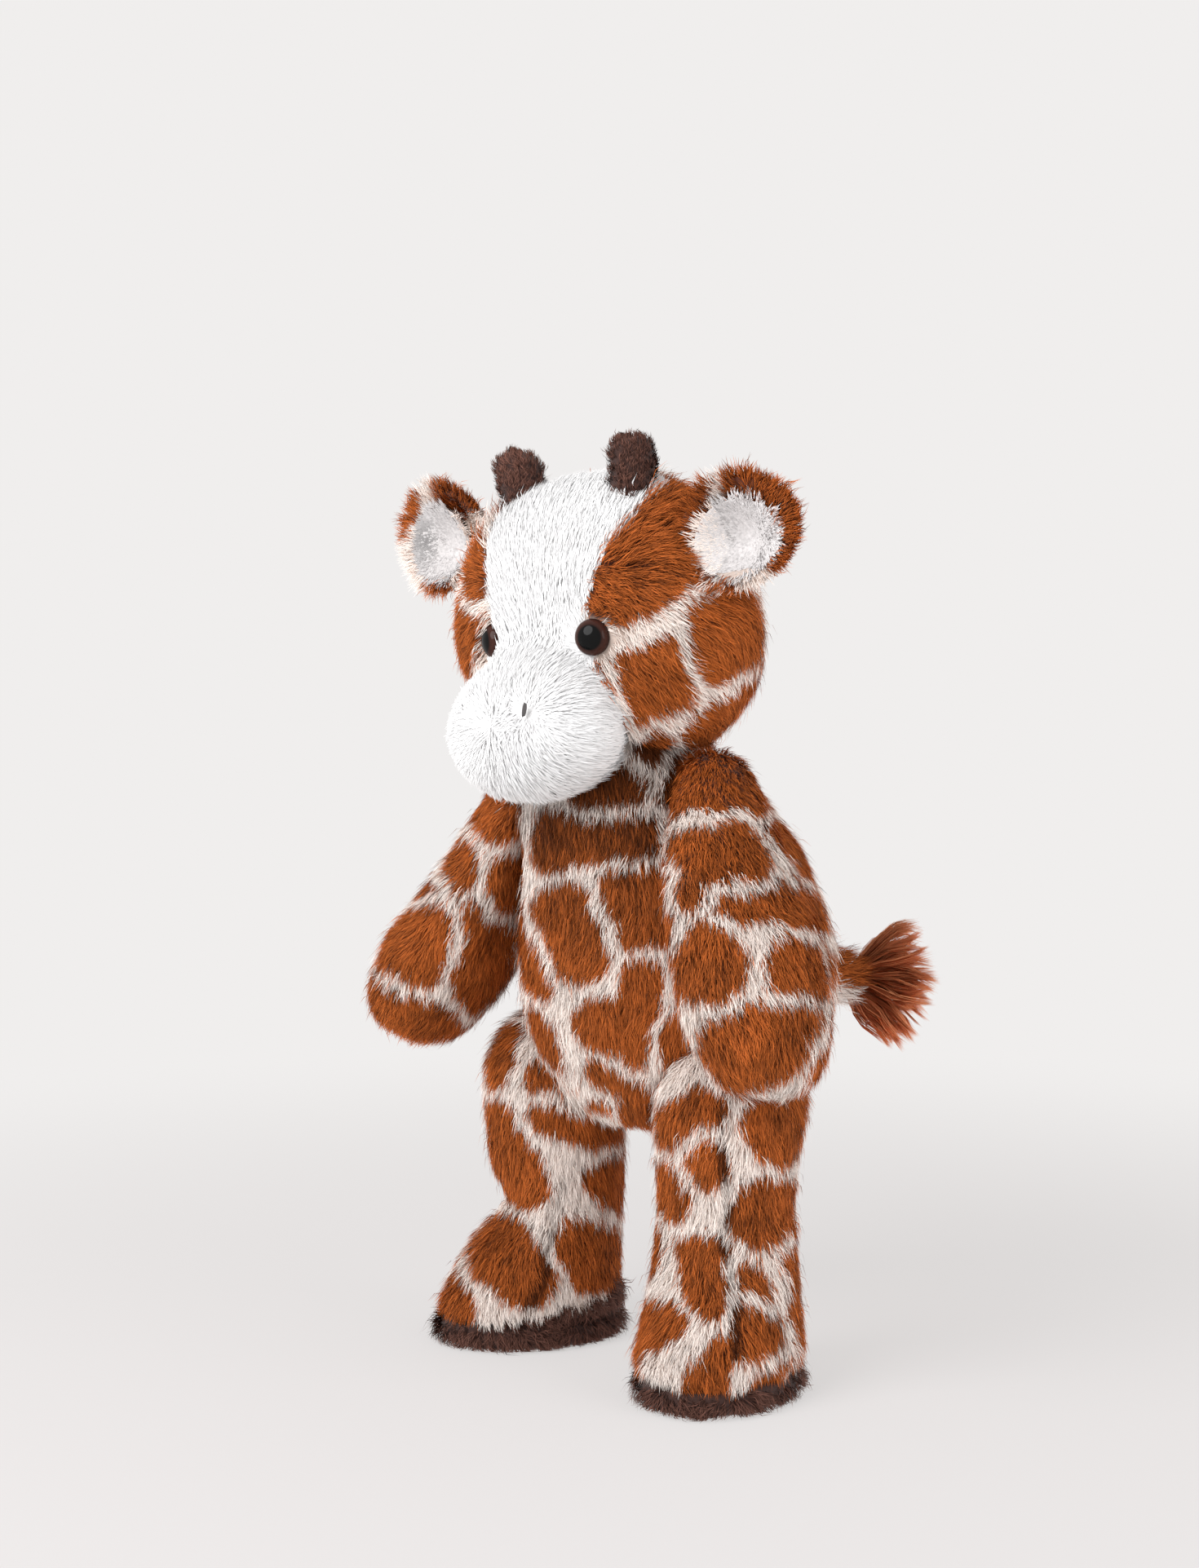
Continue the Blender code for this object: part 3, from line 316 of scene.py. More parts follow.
def stuffed(name, body, fill, skins, filling, *inside):
    """One closed cloth form round skins and their filling, blown up a little as stuffing does."""
    parts = [cad_copy(name + "_" + node, node) for node in skins]
    core = cad_copy(name + "_" + filling, filling)
    apply_modifier(core, "DISPLACE", strength=SKIN_OVERLAP, mid_level=0.0)
    take(core, *parts)
    bpy.ops.object.join()
    core.name = name
    core.data.name = name
    apply_modifier(core, "REMESH", mode="VOXEL", voxel_size=bpy.context.scene.giraffe_sizes.voxel)
    keep_largest(core)
    inflate(core)
    apply_modifier(core, "SUBSURF", levels=1, render_levels=1)
    if name in SLIMMED:
        slim(core, *SLIMMED[name])
    finish_piece(core, body, "rust_plush", *skins, filling, *inside)


def slim(piece, side, height, band, amount):
    """Draw one edge of a part, as the photograph shows it, in towards its other edge near some height."""
    right = np.array(camera_frame()[1])
    points = read_points(piece.data)
    across = points @ right * side
    level = np.round(points[:, 2] / 0.006).astype(int)
    slices = {step: across[np.abs(level - step) <= 1] for step in set(level)}
    ends = {step: (part.min(), part.max()) for step, part in slices.items()}
    inner, outer = np.array([ends[step] for step in level]).T
    share = (across - inner) / np.maximum(outer - inner, 1e-6)
    move = amount * np.exp(-(((points[:, 2] - height) / band) ** 2)) * share
    write_points(piece.data, points - right * (side * move)[:, None])


def keep_largest(piece):
    """Drop any small closed bubble that the remesh left between skin and filling."""
    bm = bmesh.new()
    bm.from_mesh(piece.data)
    seen, groups = set(), []
    for start in bm.verts:
        if start in seen:
            continue
        group, fresh = {start}, [start]
        while fresh:
            vert = fresh.pop()
            near = {edge.other_vert(vert) for edge in vert.link_edges} - group
            group |= near
            fresh += near
        seen |= group
        groups.append(group)
    for group in sorted(groups, key=len)[:-1]:
        bmesh.ops.delete(bm, geom=list(group), context="VERTS")
    bm.to_mesh(piece.data)
    bm.free()


def inflate(piece):
    """Blow the cloth up with Blender's cloth, capped, and leave the result in the mesh."""
    swell = bpy.context.scene.giraffe_sizes.swell
    rest = read_points(piece.data)
    write_points(piece.data, rest - read_points(piece.data, "normal") * swell)
    take(piece)
    bpy.ops.object.modifier_add(type="CLOTH")
    cloth = piece.modifiers[-1]
    cloth.settings.use_pressure = True
    cloth.settings.uniform_pressure_force = PRESSURE
    cloth.settings.effector_weights.gravity = 0.0
    cloth.settings.quality = 5
    cloth.point_cache.frame_start = 1
    cloth.point_cache.frame_end = CLOTH_FRAMES
    for frame_number in range(1, CLOTH_FRAMES + 1):
        bpy.context.scene.frame_set(frame_number)
    bpy.ops.object.modifier_apply(modifier=cloth.name)
    bpy.context.scene.frame_set(1)
    moved = read_points(piece.data) - rest
    reach = np.linalg.norm(moved, axis=1, keepdims=True)
    write_points(piece.data, rest + moved * np.minimum(1.0, swell / np.maximum(reach, 1e-9)))


# Reading and writing meshes

def read_points(mesh, key="co"):
    """A mesh's vertices, or their normals, as an array."""
    points = np.empty(len(mesh.vertices) * 3, np.float32)
    mesh.vertices.foreach_get(key, points)
    return points.reshape(-1, 3).astype(np.float64)


def write_points(mesh, points):
    """Move a mesh's vertices."""
    mesh.vertices.foreach_set("co", points.astype(np.float32).ravel())
    mesh.update()


def cad_points(node):
    """A CAD node's vertices."""
    return read_points(NODES[node].data)


def cad_box(name):
    """The low and high corners of a CAD node's box, and its middle."""
    low, high = (np.array(corner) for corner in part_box(name))
    return low, high, (low + high) / 2.0


def unit(vectors):
    """Vectors brought to length 1."""
    return vectors / np.maximum(np.linalg.norm(vectors, axis=-1, keepdims=True), 1e-12)


def tree_of(piece):
    """A search tree over the surface of a piece."""
    mesh = piece.data
    faces = [tuple(face.vertices) for face in mesh.polygons]
    return BVHTree.FromPolygons([vert.co.copy() for vert in mesh.vertices], faces)


def skin_tree(name):
    """A search tree over a finished piece."""
    return tree_of(bpy.data.objects[name])


def depths(tree, points):
    """Signed distances from points to a closed surface, negative inside it."""
    found = np.empty(len(points))
    for i, point in enumerate(points):
        spot, normal, index, distance = tree.find_nearest(Vector(point))
        outside = (Vector(point) - spot).dot(normal) >= 0.0
        found[i] = distance if outside else -distance
    return found


def scatter(mesh, per_area, rng):
    """Even random points on a mesh with their normals."""
    mesh.calc_loop_triangles()
    count = len(mesh.loop_triangles)
    corners = np.empty(count * 3, np.int32)
    mesh.loop_triangles.foreach_get("vertices", corners)
    corners = corners.reshape(-1, 3)
    points, normals = read_points(mesh), read_points(mesh, "normal")
    a, b, c = (points[corners[:, i]] for i in range(3))
    areas = np.linalg.norm(np.cross(b - a, c - a), axis=1) / 2.0
    total = np.cumsum(areas)
    wanted = int(total[-1] * per_area)
    places = (np.arange(wanted) + rng.random(wanted)) / wanted * total[-1]
    chosen = np.minimum(np.searchsorted(total, places), count - 1)
    u, v = rng.random(wanted), rng.random(wanted)
    flip = u + v > 1.0
    u[flip], v[flip] = 1.0 - u[flip], 1.0 - v[flip]
    weights = np.stack([1.0 - u - v, u, v], axis=1)[:, :, None]
    spots = (points[corners[chosen]] * weights).sum(axis=1)
    return spots, unit((normals[corners[chosen]] * weights).sum(axis=1))


def ripple(points, scale, seed):
    """Smooth noise between about -1 and 1 whose bumps are scale apart."""
    rng = np.random.default_rng(seed)
    waves = unit(rng.normal(size=(7, 3))) * (2.0 * math.pi / scale) * rng.uniform(0.6, 1.5, (7, 1))
    phases = rng.uniform(0.0, 2.0 * math.pi, 7)
    return np.sin(points @ waves.T + phases).sum(axis=1) / 3.2


def shaken(points, size, scale, seed):
    """Points moved about by ripples of some size."""
    return points + size * np.stack([ripple(points, scale, seed + i) for i in range(3)], axis=1)


# The camera's frame, which the patches are cast through

def camera_frame():
    """The camera's place and its right, up and back directions."""
    stage = bpy.context.scene.giraffe_stage
    a, e = stage.azimuth, stage.pitch
    back = Vector((math.sin(a) * math.cos(e), -math.cos(a) * math.cos(e), math.sin(e)))
    right = Vector((math.cos(a), math.sin(a), 0.0))
    aim = Vector((stage.aim_side * math.cos(a), stage.aim_side * math.sin(a), stage.aim_height))
    aim += Vector((0.0, stage.toy_middle, 0.0))
    return aim + back * stage.distance, right, back.cross(right), back


def project(points):
    """Where points show in the photograph, in pixels, and the size of a pixel there in metres."""
    place, right, up, back = (np.array(vector) for vector in camera_frame())
    focal = bpy.context.scene.giraffe_stage.lens / SENSOR * PHOTO_HEIGHT
    away = points - place
    depth = -(away @ back)
    across = PHOTO_WIDTH / 2.0 + focal * (away @ right) / depth
    fall = PHOTO_HEIGHT / 2.0 - focal * (away @ up) / depth
    return np.stack([across, fall], axis=1), depth / focal


def stroke_depth(spots, stroke):
    """How far pixels lie inside a stroke, negative outside it."""
    half, *line = stroke
    best = np.full(len(spots), -np.inf)
    for first, last in zip(line[:-1], line[1:]):
        first, along = np.array(first, float), np.subtract(last, first)
        part = np.clip((spots - first) @ along / (along @ along), 0.0, 1.0)
        off = np.linalg.norm(spots - first - part[:, None] * along, axis=1)
        best = np.maximum(best, half - off)
    return best


def seen_share(points, normals):
    """How surely the photograph shows each point: 1 in plain view, 0 turned away or behind a stuffed part."""
    names = ["torso_cloth", "head_cloth"]
    names += [limb + "_cloth_" + word for side, word in SIDES for limb in ("arm", "leg")]
    blockers = [skin_tree(name) for name in names]
    to_camera = unit(np.array(camera_frame()[0]) - points)
    facing = (normals * to_camera).sum(axis=1)
    shown = np.clip((facing - 0.05) / 0.25, 0.0, 1.0)
    for i in np.flatnonzero(shown > 0.0):
        start = Vector(points[i] + normals[i] * 0.0015)
        ray = Vector(to_camera[i])
        if any(tree.ray_cast(start, ray)[0] is not None for tree in blockers):
            shown[i] = 0.0
    return shown


class PatchNet:
    """How far a point lies inside a rust patch, negative on the cream between the patches.

    Where the photograph shows the cloth its strokes decide. Elsewhere each patch grows on round the part,
    and further patches fill what is left.
    """

    trust_reach = 0.004
    pixel_reach = 9.0
    melt_pixels = 3.0
    melt = 0.003
    far_off = 0.2

    def __init__(self, skin, seed):
        self.seed = seed
        self.sizes = bpy.context.scene.giraffe_sizes
        points = read_points(skin.data)
        shown = seen_share(points, read_points(skin.data, "normal"))
        self.near = KDTree(len(points))
        for i, point in enumerate(points):
            self.near.insert(point, i)
        self.near.balance()
        self.trust = np.array([
            np.mean([shown[i] for place, i, away in self.near.find_range(point, self.trust_reach)])
            for point in points
        ])
        usual = self.sizes.patch_spread * 0.3
        number = len(PATCHES)
        found = self.from_strokes(points, shown) or [(points[int(np.argmax(points[:, 2]))], usual, number)]
        gap = np.full(len(points), np.inf)
        for spot, radius, owner in found:
            gap = np.minimum(gap, np.linalg.norm(points - spot, axis=1) - radius + usual)
        gap[self.trust > 0.5] = 0.0
        while gap.max() > self.sizes.patch_spread:
            spot = points[int(np.argmax(gap))]
            number += 1
            found.append((spot, usual, number))
            gap = np.minimum(gap, np.linalg.norm(points - spot, axis=1))
        kinds = sorted({owner for spot, radius, owner in found})
        self.count = max(3, len(kinds))
        self.found = [(spot, radius, kinds.index(owner)) for spot, radius, owner in found]

    def from_strokes(self, points, shown):
        """Balls along the strokes that the photograph shows on this part: middle, radius and patch."""
        spots, scale = project(points)
        unseen = 500.0 * (shown < 0.3)
        found = []
        for number, patch in enumerate(PATCHES):
            for half, *line in patch:
                for first, last in zip(line[:-1], line[1:]):
                    for part in (0.0, 0.5, 1.0):
                        pixel = np.array(first) * (1.0 - part) + np.array(last) * part
                        off = np.linalg.norm(spots - pixel, axis=1) + unseen
                        best = int(np.argmin(off))
                        if off[best] < self.pixel_reach:
                            found.append((points[best], half * scale[best], number))
        return found

    def margin(self, points):
        """How far each point lies inside its patch."""
        trust = np.array([self.trust[self.near.find(point)[1]] for point in points])
        wavy = shaken(points, 0.0009, 0.012, self.seed)
        return trust * self.seen(wavy) + (1.0 - trust) * self.hidden(wavy)

    def seen(self, points):
        """The strokes, melted together a little where they meet."""
        spots, scale = project(points)
        best, second = np.full(len(points), -60.0), np.full(len(points), -60.0)
        for patch in PATCHES:
            total = sum(np.exp(stroke_depth(spots, stroke) / self.melt_pixels) for stroke in patch)
            inside = self.melt_pixels * np.log(total + 1e-9)
            second = np.maximum(second, np.minimum(best, inside))
            best = np.maximum(best, inside)
        lead = (best - second) * scale / 2.0 - self.sizes.least_net / 2.0
        return np.minimum(best * scale + self.sizes.patch_grow, lead)

    def hidden(self, points):
        """Half the lead of the nearest patch over the next two, less the net's half width."""
        wavy = shaken(points, 0.0016, 0.018, self.seed + 5)
        nearest = np.full((len(points), self.count), self.far_off)
        for spot, radius, owner in self.found:
            away = np.linalg.norm(wavy - spot, axis=1) - radius
            nearest[:, owner] = np.minimum(nearest[:, owner], away)
        three = np.sort(np.partition(nearest, 2, axis=1)[:, :3], axis=1)
        rival = -self.melt * np.log(np.exp(-three[:, 1] / self.melt) + np.exp(-three[:, 2] / self.melt))
        return (rival - three[:, 0]) / 2.0 - self.sizes.net / 2.0


# Pile

def comb(centres, normals, field, wander, rng, seed):
    """The way the pile lies at each tuft: a field laid onto the cloth, with some wandering."""
    flow = field - normals * (field * normals).sum(axis=1, keepdims=True)
    weak = np.linalg.norm(flow, axis=1, keepdims=True) < 1e-4
    flow = unit(np.where(weak, np.array([0.0, -1.0, 0.0]), flow))
    side = np.cross(normals, flow)
    angle = wander * ripple(centres, 0.022, seed) + 0.12 * rng.normal(size=len(centres))
    return flow * np.cos(angle)[:, None] + side * np.sin(angle)[:, None]


def cover(skin, rng, neighbours, field, wander, seed, each, keep=None):
    """Tufts over a skin, left off where a neighbour hides it. Returns spots and how free each one is.

    A neighbour is a search tree, the room that it needs and how far from it the pile has its full length.
    """
    per_area = bpy.context.scene.giraffe_sizes.density * 1e6 / each
    centres, normals = scatter(skin.data, per_area, rng)
    if keep is not None:
        kept = keep(centres)
        centres, normals = centres[kept], normals[kept]
    free = np.full(len(centres), 1.0)
    for tree, room, reach in neighbours:
        away = depths(tree, centres) - room
        near = away > 0.0
        centres, normals, free, away = centres[near], normals[near], free[near], away[near]
        if reach:
            free = np.minimum(free, np.clip(away / reach, 0.6, 1.0))
    flows = comb(centres, normals, field(centres, normals), wander, rng, seed)
    return (centres, normals, flows), free


def only(kept, spots, free):
    """Some of the tufts that cover returns."""
    return tuple(array[kept] for array in spots), free[kept]


def grow(
    spots, rng, each, radius, length, rise, gather, width,
    steps=3, stray=0.08, wave=0.05, vary=(0.72, 1.12), loose=(0.05, 1.6), tilt=0.45,
):
    """Tufts of strands at some spots (centres, normals, flows).

    Returns their paths, the way across each and the way that its cloth faces. A tuft has a number of strands,
    a radius, a length, a rise of its tips, a share by which they gather and a width. Strands stray sideways,
    wave, vary in length and tilt; loose is the share of strands that stand up and by how much more.
    """
    centres, normals, flows = spots
    shape = (len(centres), each, 1)
    side = np.cross(normals, flows)
    angle = rng.uniform(0.0, 2.0 * math.pi, shape)
    reach = radius * np.sqrt(rng.random(shape))
    offset = (flows[:, None] * np.cos(angle) + side[:, None] * np.sin(angle)) * reach
    long = length.reshape(-1, 1, 1) * rng.uniform(*vary, shape)
    high = rise.reshape(-1, 1, 1) * rng.uniform(0.55, 1.2, shape)
    high = high * np.where(rng.random(shape) < loose[0], loose[1], 1.0)
    astray = rng.normal(0.0, stray, shape) * long
    pull = gather * rng.uniform(0.7, 1.15, shape)
    path = []
    for i in range(steps):
        t = i / (steps - 1.0)
        sway = rng.normal(0.0, wave, shape) * long * (t if i < steps - 1 else 0.0)
        spot = centres[:, None] + offset * (1.0 - pull * t)
        spot = spot + flows[:, None] * long * (0.68 * t + 0.25 * t * t)
        spot = spot + side[:, None] * (astray * t * t + sway)
        spot = spot + normals[:, None] * (high * (2.44 * t - 1.44 * t * t) - ROOT_DEPTH * (1.0 - t))
        flat = spot.reshape(-1, 3)
        if i:
            flat[:, 2] = np.maximum(flat[:, 2], LEAST_HEIGHT)
        path.append(flat)
    twist = rng.normal(0.0, tilt, shape)
    across = side[:, None] * np.cos(twist) + normals[:, None] * np.sin(twist)
    across = (across * width * rng.uniform(0.75, 1.2, shape)).reshape(-1, 3)
    return path, across, np.repeat(normals, each, axis=0)


def strand_mesh(name, path, across, facing, rows, taper, soften):
    """Tapered ribbons along paths from root to tip. Their map gives each its dye in u and runs along it in v.

    Their shading leans by a share, soften, towards the cloth's own, which is what makes pile look soft.
    """
    count, steps = len(rows), len(path)
    own = 2 * steps - 1
    points, shading = np.empty((count, own, 3), np.float32), np.empty((count, own, 3), np.float32)
    for i in range(steps - 1):
        points[:, 2 * i] = path[i] + across * (0.5 * taper[i])
        points[:, 2 * i + 1] = path[i] - across * (0.5 * taper[i])
    points[:, own - 1] = path[-1]
    for i in range(steps):
        ahead = path[min(i + 1, steps - 1)] - path[max(i - 1, 0)]
        flat = unit(np.cross(ahead, across))
        shading[:, 2 * i:2 * i + 2] = unit(facing * soften + flat * (1.0 - soften))[:, None]
    corners, starts, along, aside = [], [], [], []
    for i in range(steps - 2):
        starts.append(len(corners))
        corners += [2 * i, 2 * i + 1, 2 * i + 3, 2 * i + 2]
        along += [i, i, i + 1, i + 1]
        aside += [-1, 1, 1, -1]
    starts.append(len(corners))
    corners += [own - 3, own - 2, own - 1]
    along += [steps - 2, steps - 2, steps - 1]
    aside += [-1, 1, 0]
    each = len(corners)
    mesh = bpy.data.meshes.new(name)
    mesh.vertices.add(count * own)
    mesh.vertices.foreach_set("co", points.ravel())
    mesh.loops.add(count * each)
    loops = np.arange(count)[:, None] * own + np.array(corners)
    mesh.loops.foreach_set("vertex_index", loops.astype(np.int32).ravel())
    mesh.polygons.add(count * len(starts))
    firsts = np.arange(count)[:, None] * each + np.array(starts)
    mesh.polygons.foreach_set("loop_start", firsts.astype(np.int32).ravel())
    mesh.update(calc_edges=True)
    places = np.empty((count, each, 2), np.float32)
    places[:, :, 0] = rows[:, None] + np.array(aside) * 0.0012
    places[:, :, 1] = 0.015 + 0.97 * np.array(along) / (steps - 1.0)
    mesh.uv_layers.new(name=UV_NAME).uv.foreach_set("vector", places.ravel())
    mesh.polygons.foreach_set("use_smooth", np.ones(len(mesh.polygons), bool))
    mesh.normals_split_custom_set_from_vertices(shading.reshape(-1, 3))
    piece = bpy.data.objects.new(name, mesh)
    bpy.context.scene.collection.objects.link(piece)
    return piece


def pile(names, body, slot, finish, strands, rows, axis=1, taper=(1.0, 0.84), soften=0.7):
    """Strands as one or more pieces, cut apart along an axis so that none is too heavy."""
    path, across, facing = strands
    order = np.argsort(path[0][:, axis], kind="stable")
    for name, part in zip(names, np.array_split(order, len(names))):
        lines = [points[part] for points in path]
        piece = strand_mesh(name, lines, across[part], facing[part], rows[part], taper, soften)
        piece.data.materials.append(finish)
        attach(piece, body)


def dye_rows(middle, spread, rng, count):
    """Places of strands on a dye's map, scattered round a middle one."""
    return np.clip(middle + rng.normal(0.0, spread, count), LOW_ROW, HIGH_ROW)


def patched_rows(margin, roots, rng, seed, each, painted_shade):
    """Places on the map of patched pile: rust inside a patch, cream on the net, mixed at the edges."""
    edge = margin / bpy.context.scene.giraffe_sizes.edge + rng.normal(0.0, 0.6, len(margin))
    tufts = np.repeat(rng.normal(0.0, 0.13, len(margin) // each), each)
    shade = 0.56 + rng.normal(0.0, 0.22, len(margin)) + 0.10 * ripple(roots, 0.03, seed) + tufts
    # Painted shade darkens the rust by its full amount and the cream by half.
    rust, cream = (np.clip(shade - painted_shade * part, LOW_ROW, HIGH_ROW) for part in (1.0, 0.5))
    return np.where(edge > 0.0, rust * 0.5, 0.5 + cream * 0.5)


# Materials

def feed(tree, node, inputs):
    """Set a node's inputs: an output of another node is linked, anything else is a constant."""
    for socket, value in inputs.items():
        if isinstance(value, bpy.types.NodeSocket):
            tree.links.new(value, node.inputs[socket])
        else:
            node.inputs[socket].default_value = value


def add_node(tree, kind, inputs=None, **settings):
    """A new shader node with its settings and inputs."""
    node = tree.nodes.new("ShaderNode" + kind)
    for key, value in settings.items():
        setattr(node, key, value)
    feed(tree, node, inputs or {})
    return node


def new_material(name):
    """A new node material, its node tree and its principled shader."""
    made = bpy.data.materials.new(name)
    made.use_nodes = True
    return made, made.node_tree, made.node_tree.nodes["Principled BSDF"]


def ramp_colour(tree, value, stops):
    """The colour that a ramp with stops of place and colour gives at a value."""
    node = add_node(tree, "ValToRGB", {"Fac": value})
    elements = node.color_ramp.elements
    while len(elements) < len(stops):
        elements.new(0.5)
    for element, (place, shade) in zip(elements, stops):
        element.position = place
        element.color = (*shade, 1.0)
    return node.outputs["Color"]


def object_places(tree):
    """The coordinates of the piece itself."""
    return add_node(tree, "TexCoord").outputs["Object"]


def grain(tree, scale, detail, depth, strength):
    """Fine noise and the normals of its bumps."""
    noise = add_node(tree, "TexNoise", {"Scale": scale, "Detail": detail, "Vector": object_places(tree)})
    height = noise.outputs["Fac"]
    bump = add_node(tree, "Bump", {"Distance": depth, "Strength": strength, "Height": height})
    return height, bump.outputs["Normal"]


def scaled(value, factor):
    """A colour made lighter or darker."""
    return tuple(min(1.0, channel * factor) for channel in value)


def pile_material(name, *kinds):
    """Pile whose colour map runs along each strand in v and through the shades of its dyes in u.

    A kind is its colour at the root, its colour at the tip and its shades.
    """
    made, tree, shader = new_material(name)
    uv = add_node(tree, "UVMap", uv_map=UV_NAME)
    split = add_node(tree, "SeparateXYZ", {0: uv.outputs["UV"]})
    width = 1.0 / len(kinds)
    ends = [
        ramp_colour(tree, split.outputs["X"], [
            (width * (number + place), scaled(kind[end], factor))
            for number, kind in enumerate(kinds) for place, factor in kind[2]
        ]) for end in (0, 1)
    ]
    # From root to tip: the darker roots are partly the pile's own tone, partly painted shade deep in the pile.
    span = {"From Min": 0.0, "From Max": 0.85, "Value": split.outputs["Y"]}
    ease = add_node(tree, "MapRange", span, interpolation_type="SMOOTHSTEP")
    mix = add_node(
        tree, "Mix", {"Factor": ease.outputs["Result"], "A": ends[0], "B": ends[1]}, data_type="RGBA"
    )
    feed(tree, shader, {"Roughness": 0.72, "Specular IOR Level": 0.12, "Base Color": mix.outputs["Result"]})
    return made


def cloth_material(name):
    """Knitted backing cloth, coloured by an attribute, with painted shade between its stitches where its bumps
    are low.
    """
    made, tree, shader = new_material(name)
    read = add_node(tree, "Attribute", attribute_name="cloth_colour")
    knit, bumps = grain(tree, 900.0, 2.0, 0.0004, 0.5)
    shade = add_node(tree, "MapRange", {"To Min": 0.6, "To Max": 1.25, "Value": knit})
    tint = add_node(
        tree, "VectorMath", {0: read.outputs["Color"], "Scale": shade.outputs["Result"]}, operation="SCALE"
    )
    feed(tree, shader, {
        "Roughness": 0.95, "Sheen Weight": 0.2, "Base Color": tint.outputs["Vector"], "Normal": bumps,
    })
    return made


def thread_material(name, base):
    """Spun thread: a little colour variation and fine bumps from noise."""
    made, tree, shader = new_material(name)
    noise, bumps = grain(tree, 2500.0, 4.0, 0.0002, 0.6)
    tint = ramp_colour(tree, noise, ((0.3, scaled(base, 0.75)), (0.7, scaled(base, 1.25))))
    feed(tree, shader, {"Roughness": 0.7, "Base Color": tint, "Normal": bumps})
    return made


def eye_material(name, centre):
    """Glossy plastic: a black pupil round a point, in a brown ring that darkens towards its edge."""
    sizes, dyes = bpy.context.scene.giraffe_sizes, bpy.context.scene.giraffe_colours
    made, tree, shader = new_material(name)
    away = add_node(tree, "VectorMath", {0: object_places(tree), 1: centre}, operation="DISTANCE")
    span = add_node(
        tree, "MapRange", {"From Max": sizes.pupil_radius * 2.0, "Value": away.outputs["Value"]}
    )
    ring, pupil = tuple(dyes.eye_ring), tuple(dyes.pupil)
    stops = ((0.44, pupil), (0.52, scaled(ring, 0.7)), (0.64, ring), (0.80, scaled(ring, 0.5)))
    feed(tree, shader, {
        "Roughness": 0.10, "Specular IOR Level": 0.07, "Coat Weight": 0.08, "Coat Roughness": 0.04,
        "Base Color": ramp_colour(tree, span.outputs["Result"], stops),
    })
    return made


def shared(name, make, *values):
    """A material that several pieces use, made once."""
    return bpy.data.materials.get(name) or make(name, *values)


def fur(kind):
    """The pile material of a kind of plush."""
    dyes = bpy.context.scene.giraffe_colours
    kinds = {
        "patched": (
            (tuple(dyes.rust_root), tuple(dyes.rust_tip), DEEP_SHADES),
            (tuple(dyes.cream_root), tuple(dyes.cream_tip), MILD_SHADES),
        ),
        "white": ((tuple(dyes.white_root), tuple(dyes.white_tip), EVEN_SHADES),),
        "lining": ((scaled(dyes.lining, 0.92), tuple(dyes.lining), LINING_AND_PAINTED_CUP_SHADES),),
        "brown": ((tuple(dyes.brown_root), tuple(dyes.brown_tip), DEEP_SHADES),),
        "tassel_yarn": ((tuple(dyes.yarn_root), tuple(dyes.yarn_tip), EVEN_SHADES),),
    }
    return shared(kind + "_pile", pile_material, *kinds[kind])


def paint(piece, colours):
    """Store the colour of the cloth at each vertex, or one colour for all."""
    layer = piece.data.color_attributes.new("cloth_colour", "FLOAT_COLOR", "POINT")
    values = np.ones((len(piece.data.vertices), 4), np.float32)
    values[:, :3] = colours
    layer.data.foreach_set("color", values.ravel())
    piece.data.materials.append(shared("backing", cloth_material))


# Body parts

def backing(skin, net, white):
    """Colour the cloth under patched pile, darker than the roots, and lighter where it is under white pile."""
    dyes = bpy.context.scene.giraffe_colours
    points = read_points(skin.data)
    inside = np.clip(net.margin(points) / 0.002 + 0.5, 0.0, 1.0)[:, None]
    colours = (np.array(dyes.rust_root) * inside + np.array(dyes.cream_root) * (1.0 - inside)) * 0.75
    if white is not None:
        colours[white(points)] = np.array(dyes.white_root) * 1.15
    paint(skin, colours)


def same(points):
    """No change to the pile."""
    return 1.0


def patched_part(
    skin, names, body, seed, neighbours, field,
    each=14, length=1.0, keep=None, white=None, taper=same, lift=same, painted_shade=None,
):
    """The long patched pile of one part of the body.

    Functions of the points say where it grows (keep), where the cloth is white, how its length (taper) and its
    rise (lift) change and how much painted shade darkens it (dim).
    """
    sizes = bpy.context.scene.giraffe_sizes
    rng = np.random.default_rng(seed)
    net = PatchNet(skin, seed)
    backing(skin, net, white)
    spots, free = cover(skin, rng, neighbours, field, 0.25, seed, each, keep)
    size = free * rng.uniform(0.85, 1.1, len(free)) * length * taper(spots[0])
    rise = size * sizes.pile_rise * rng.uniform(0.85, 1.15, len(free)) * lift(spots[0])
    strands = grow(spots, rng, each, sizes.tuft, size * sizes.pile, rise, 0.15, sizes.pile_width, stray=0.13)
    roots = strands[0][0]
    drift = np.repeat(spots[2] * (0.6 * size * sizes.pile)[:, None], each, axis=0)
    rows = patched_rows(net.margin(roots + drift), roots, rng, seed, each, painted_shade(roots) if painted_shade else 0.0)
    pile(names, body, "rust_plush", fur("patched"), strands, rows, soften=0.4)


def steady(*way):
    """A field of pile that lies one way everywhere."""
    return lambda points, normals: np.tile(np.array(way), (len(points), 1))


DOWN = steady(0.0, 0.0, -1.0)


class GIRAFFE_OT_skins(bpy.types.Operator):
    """Make the stuffed skins of the body, head, arms and legs"""

    bl_idname = "giraffe.skins"
    bl_label = "Stuffed skins"

    def execute(self, context):
        stuffed("torso_cloth", "torso", 0.8, ["torso_skin"], "torso_filling")
        stuffed("head_cloth", "head", 0.85, ["head_skin", "face_panel"], "head_filling")
        for side, word in SIDES:
            stuffed("arm_cloth_" + word, "arm_" + word, 0.75, ["arm_skin_" + word], "arm_filling_" + word)
            stuffed(
                "leg_cloth_" + word, "leg_" + word, 0.8,
                ["leg_skin_" + word], "leg_filling_" + word, "foot_bag_" + word,
            )
        return {"FINISHED"}


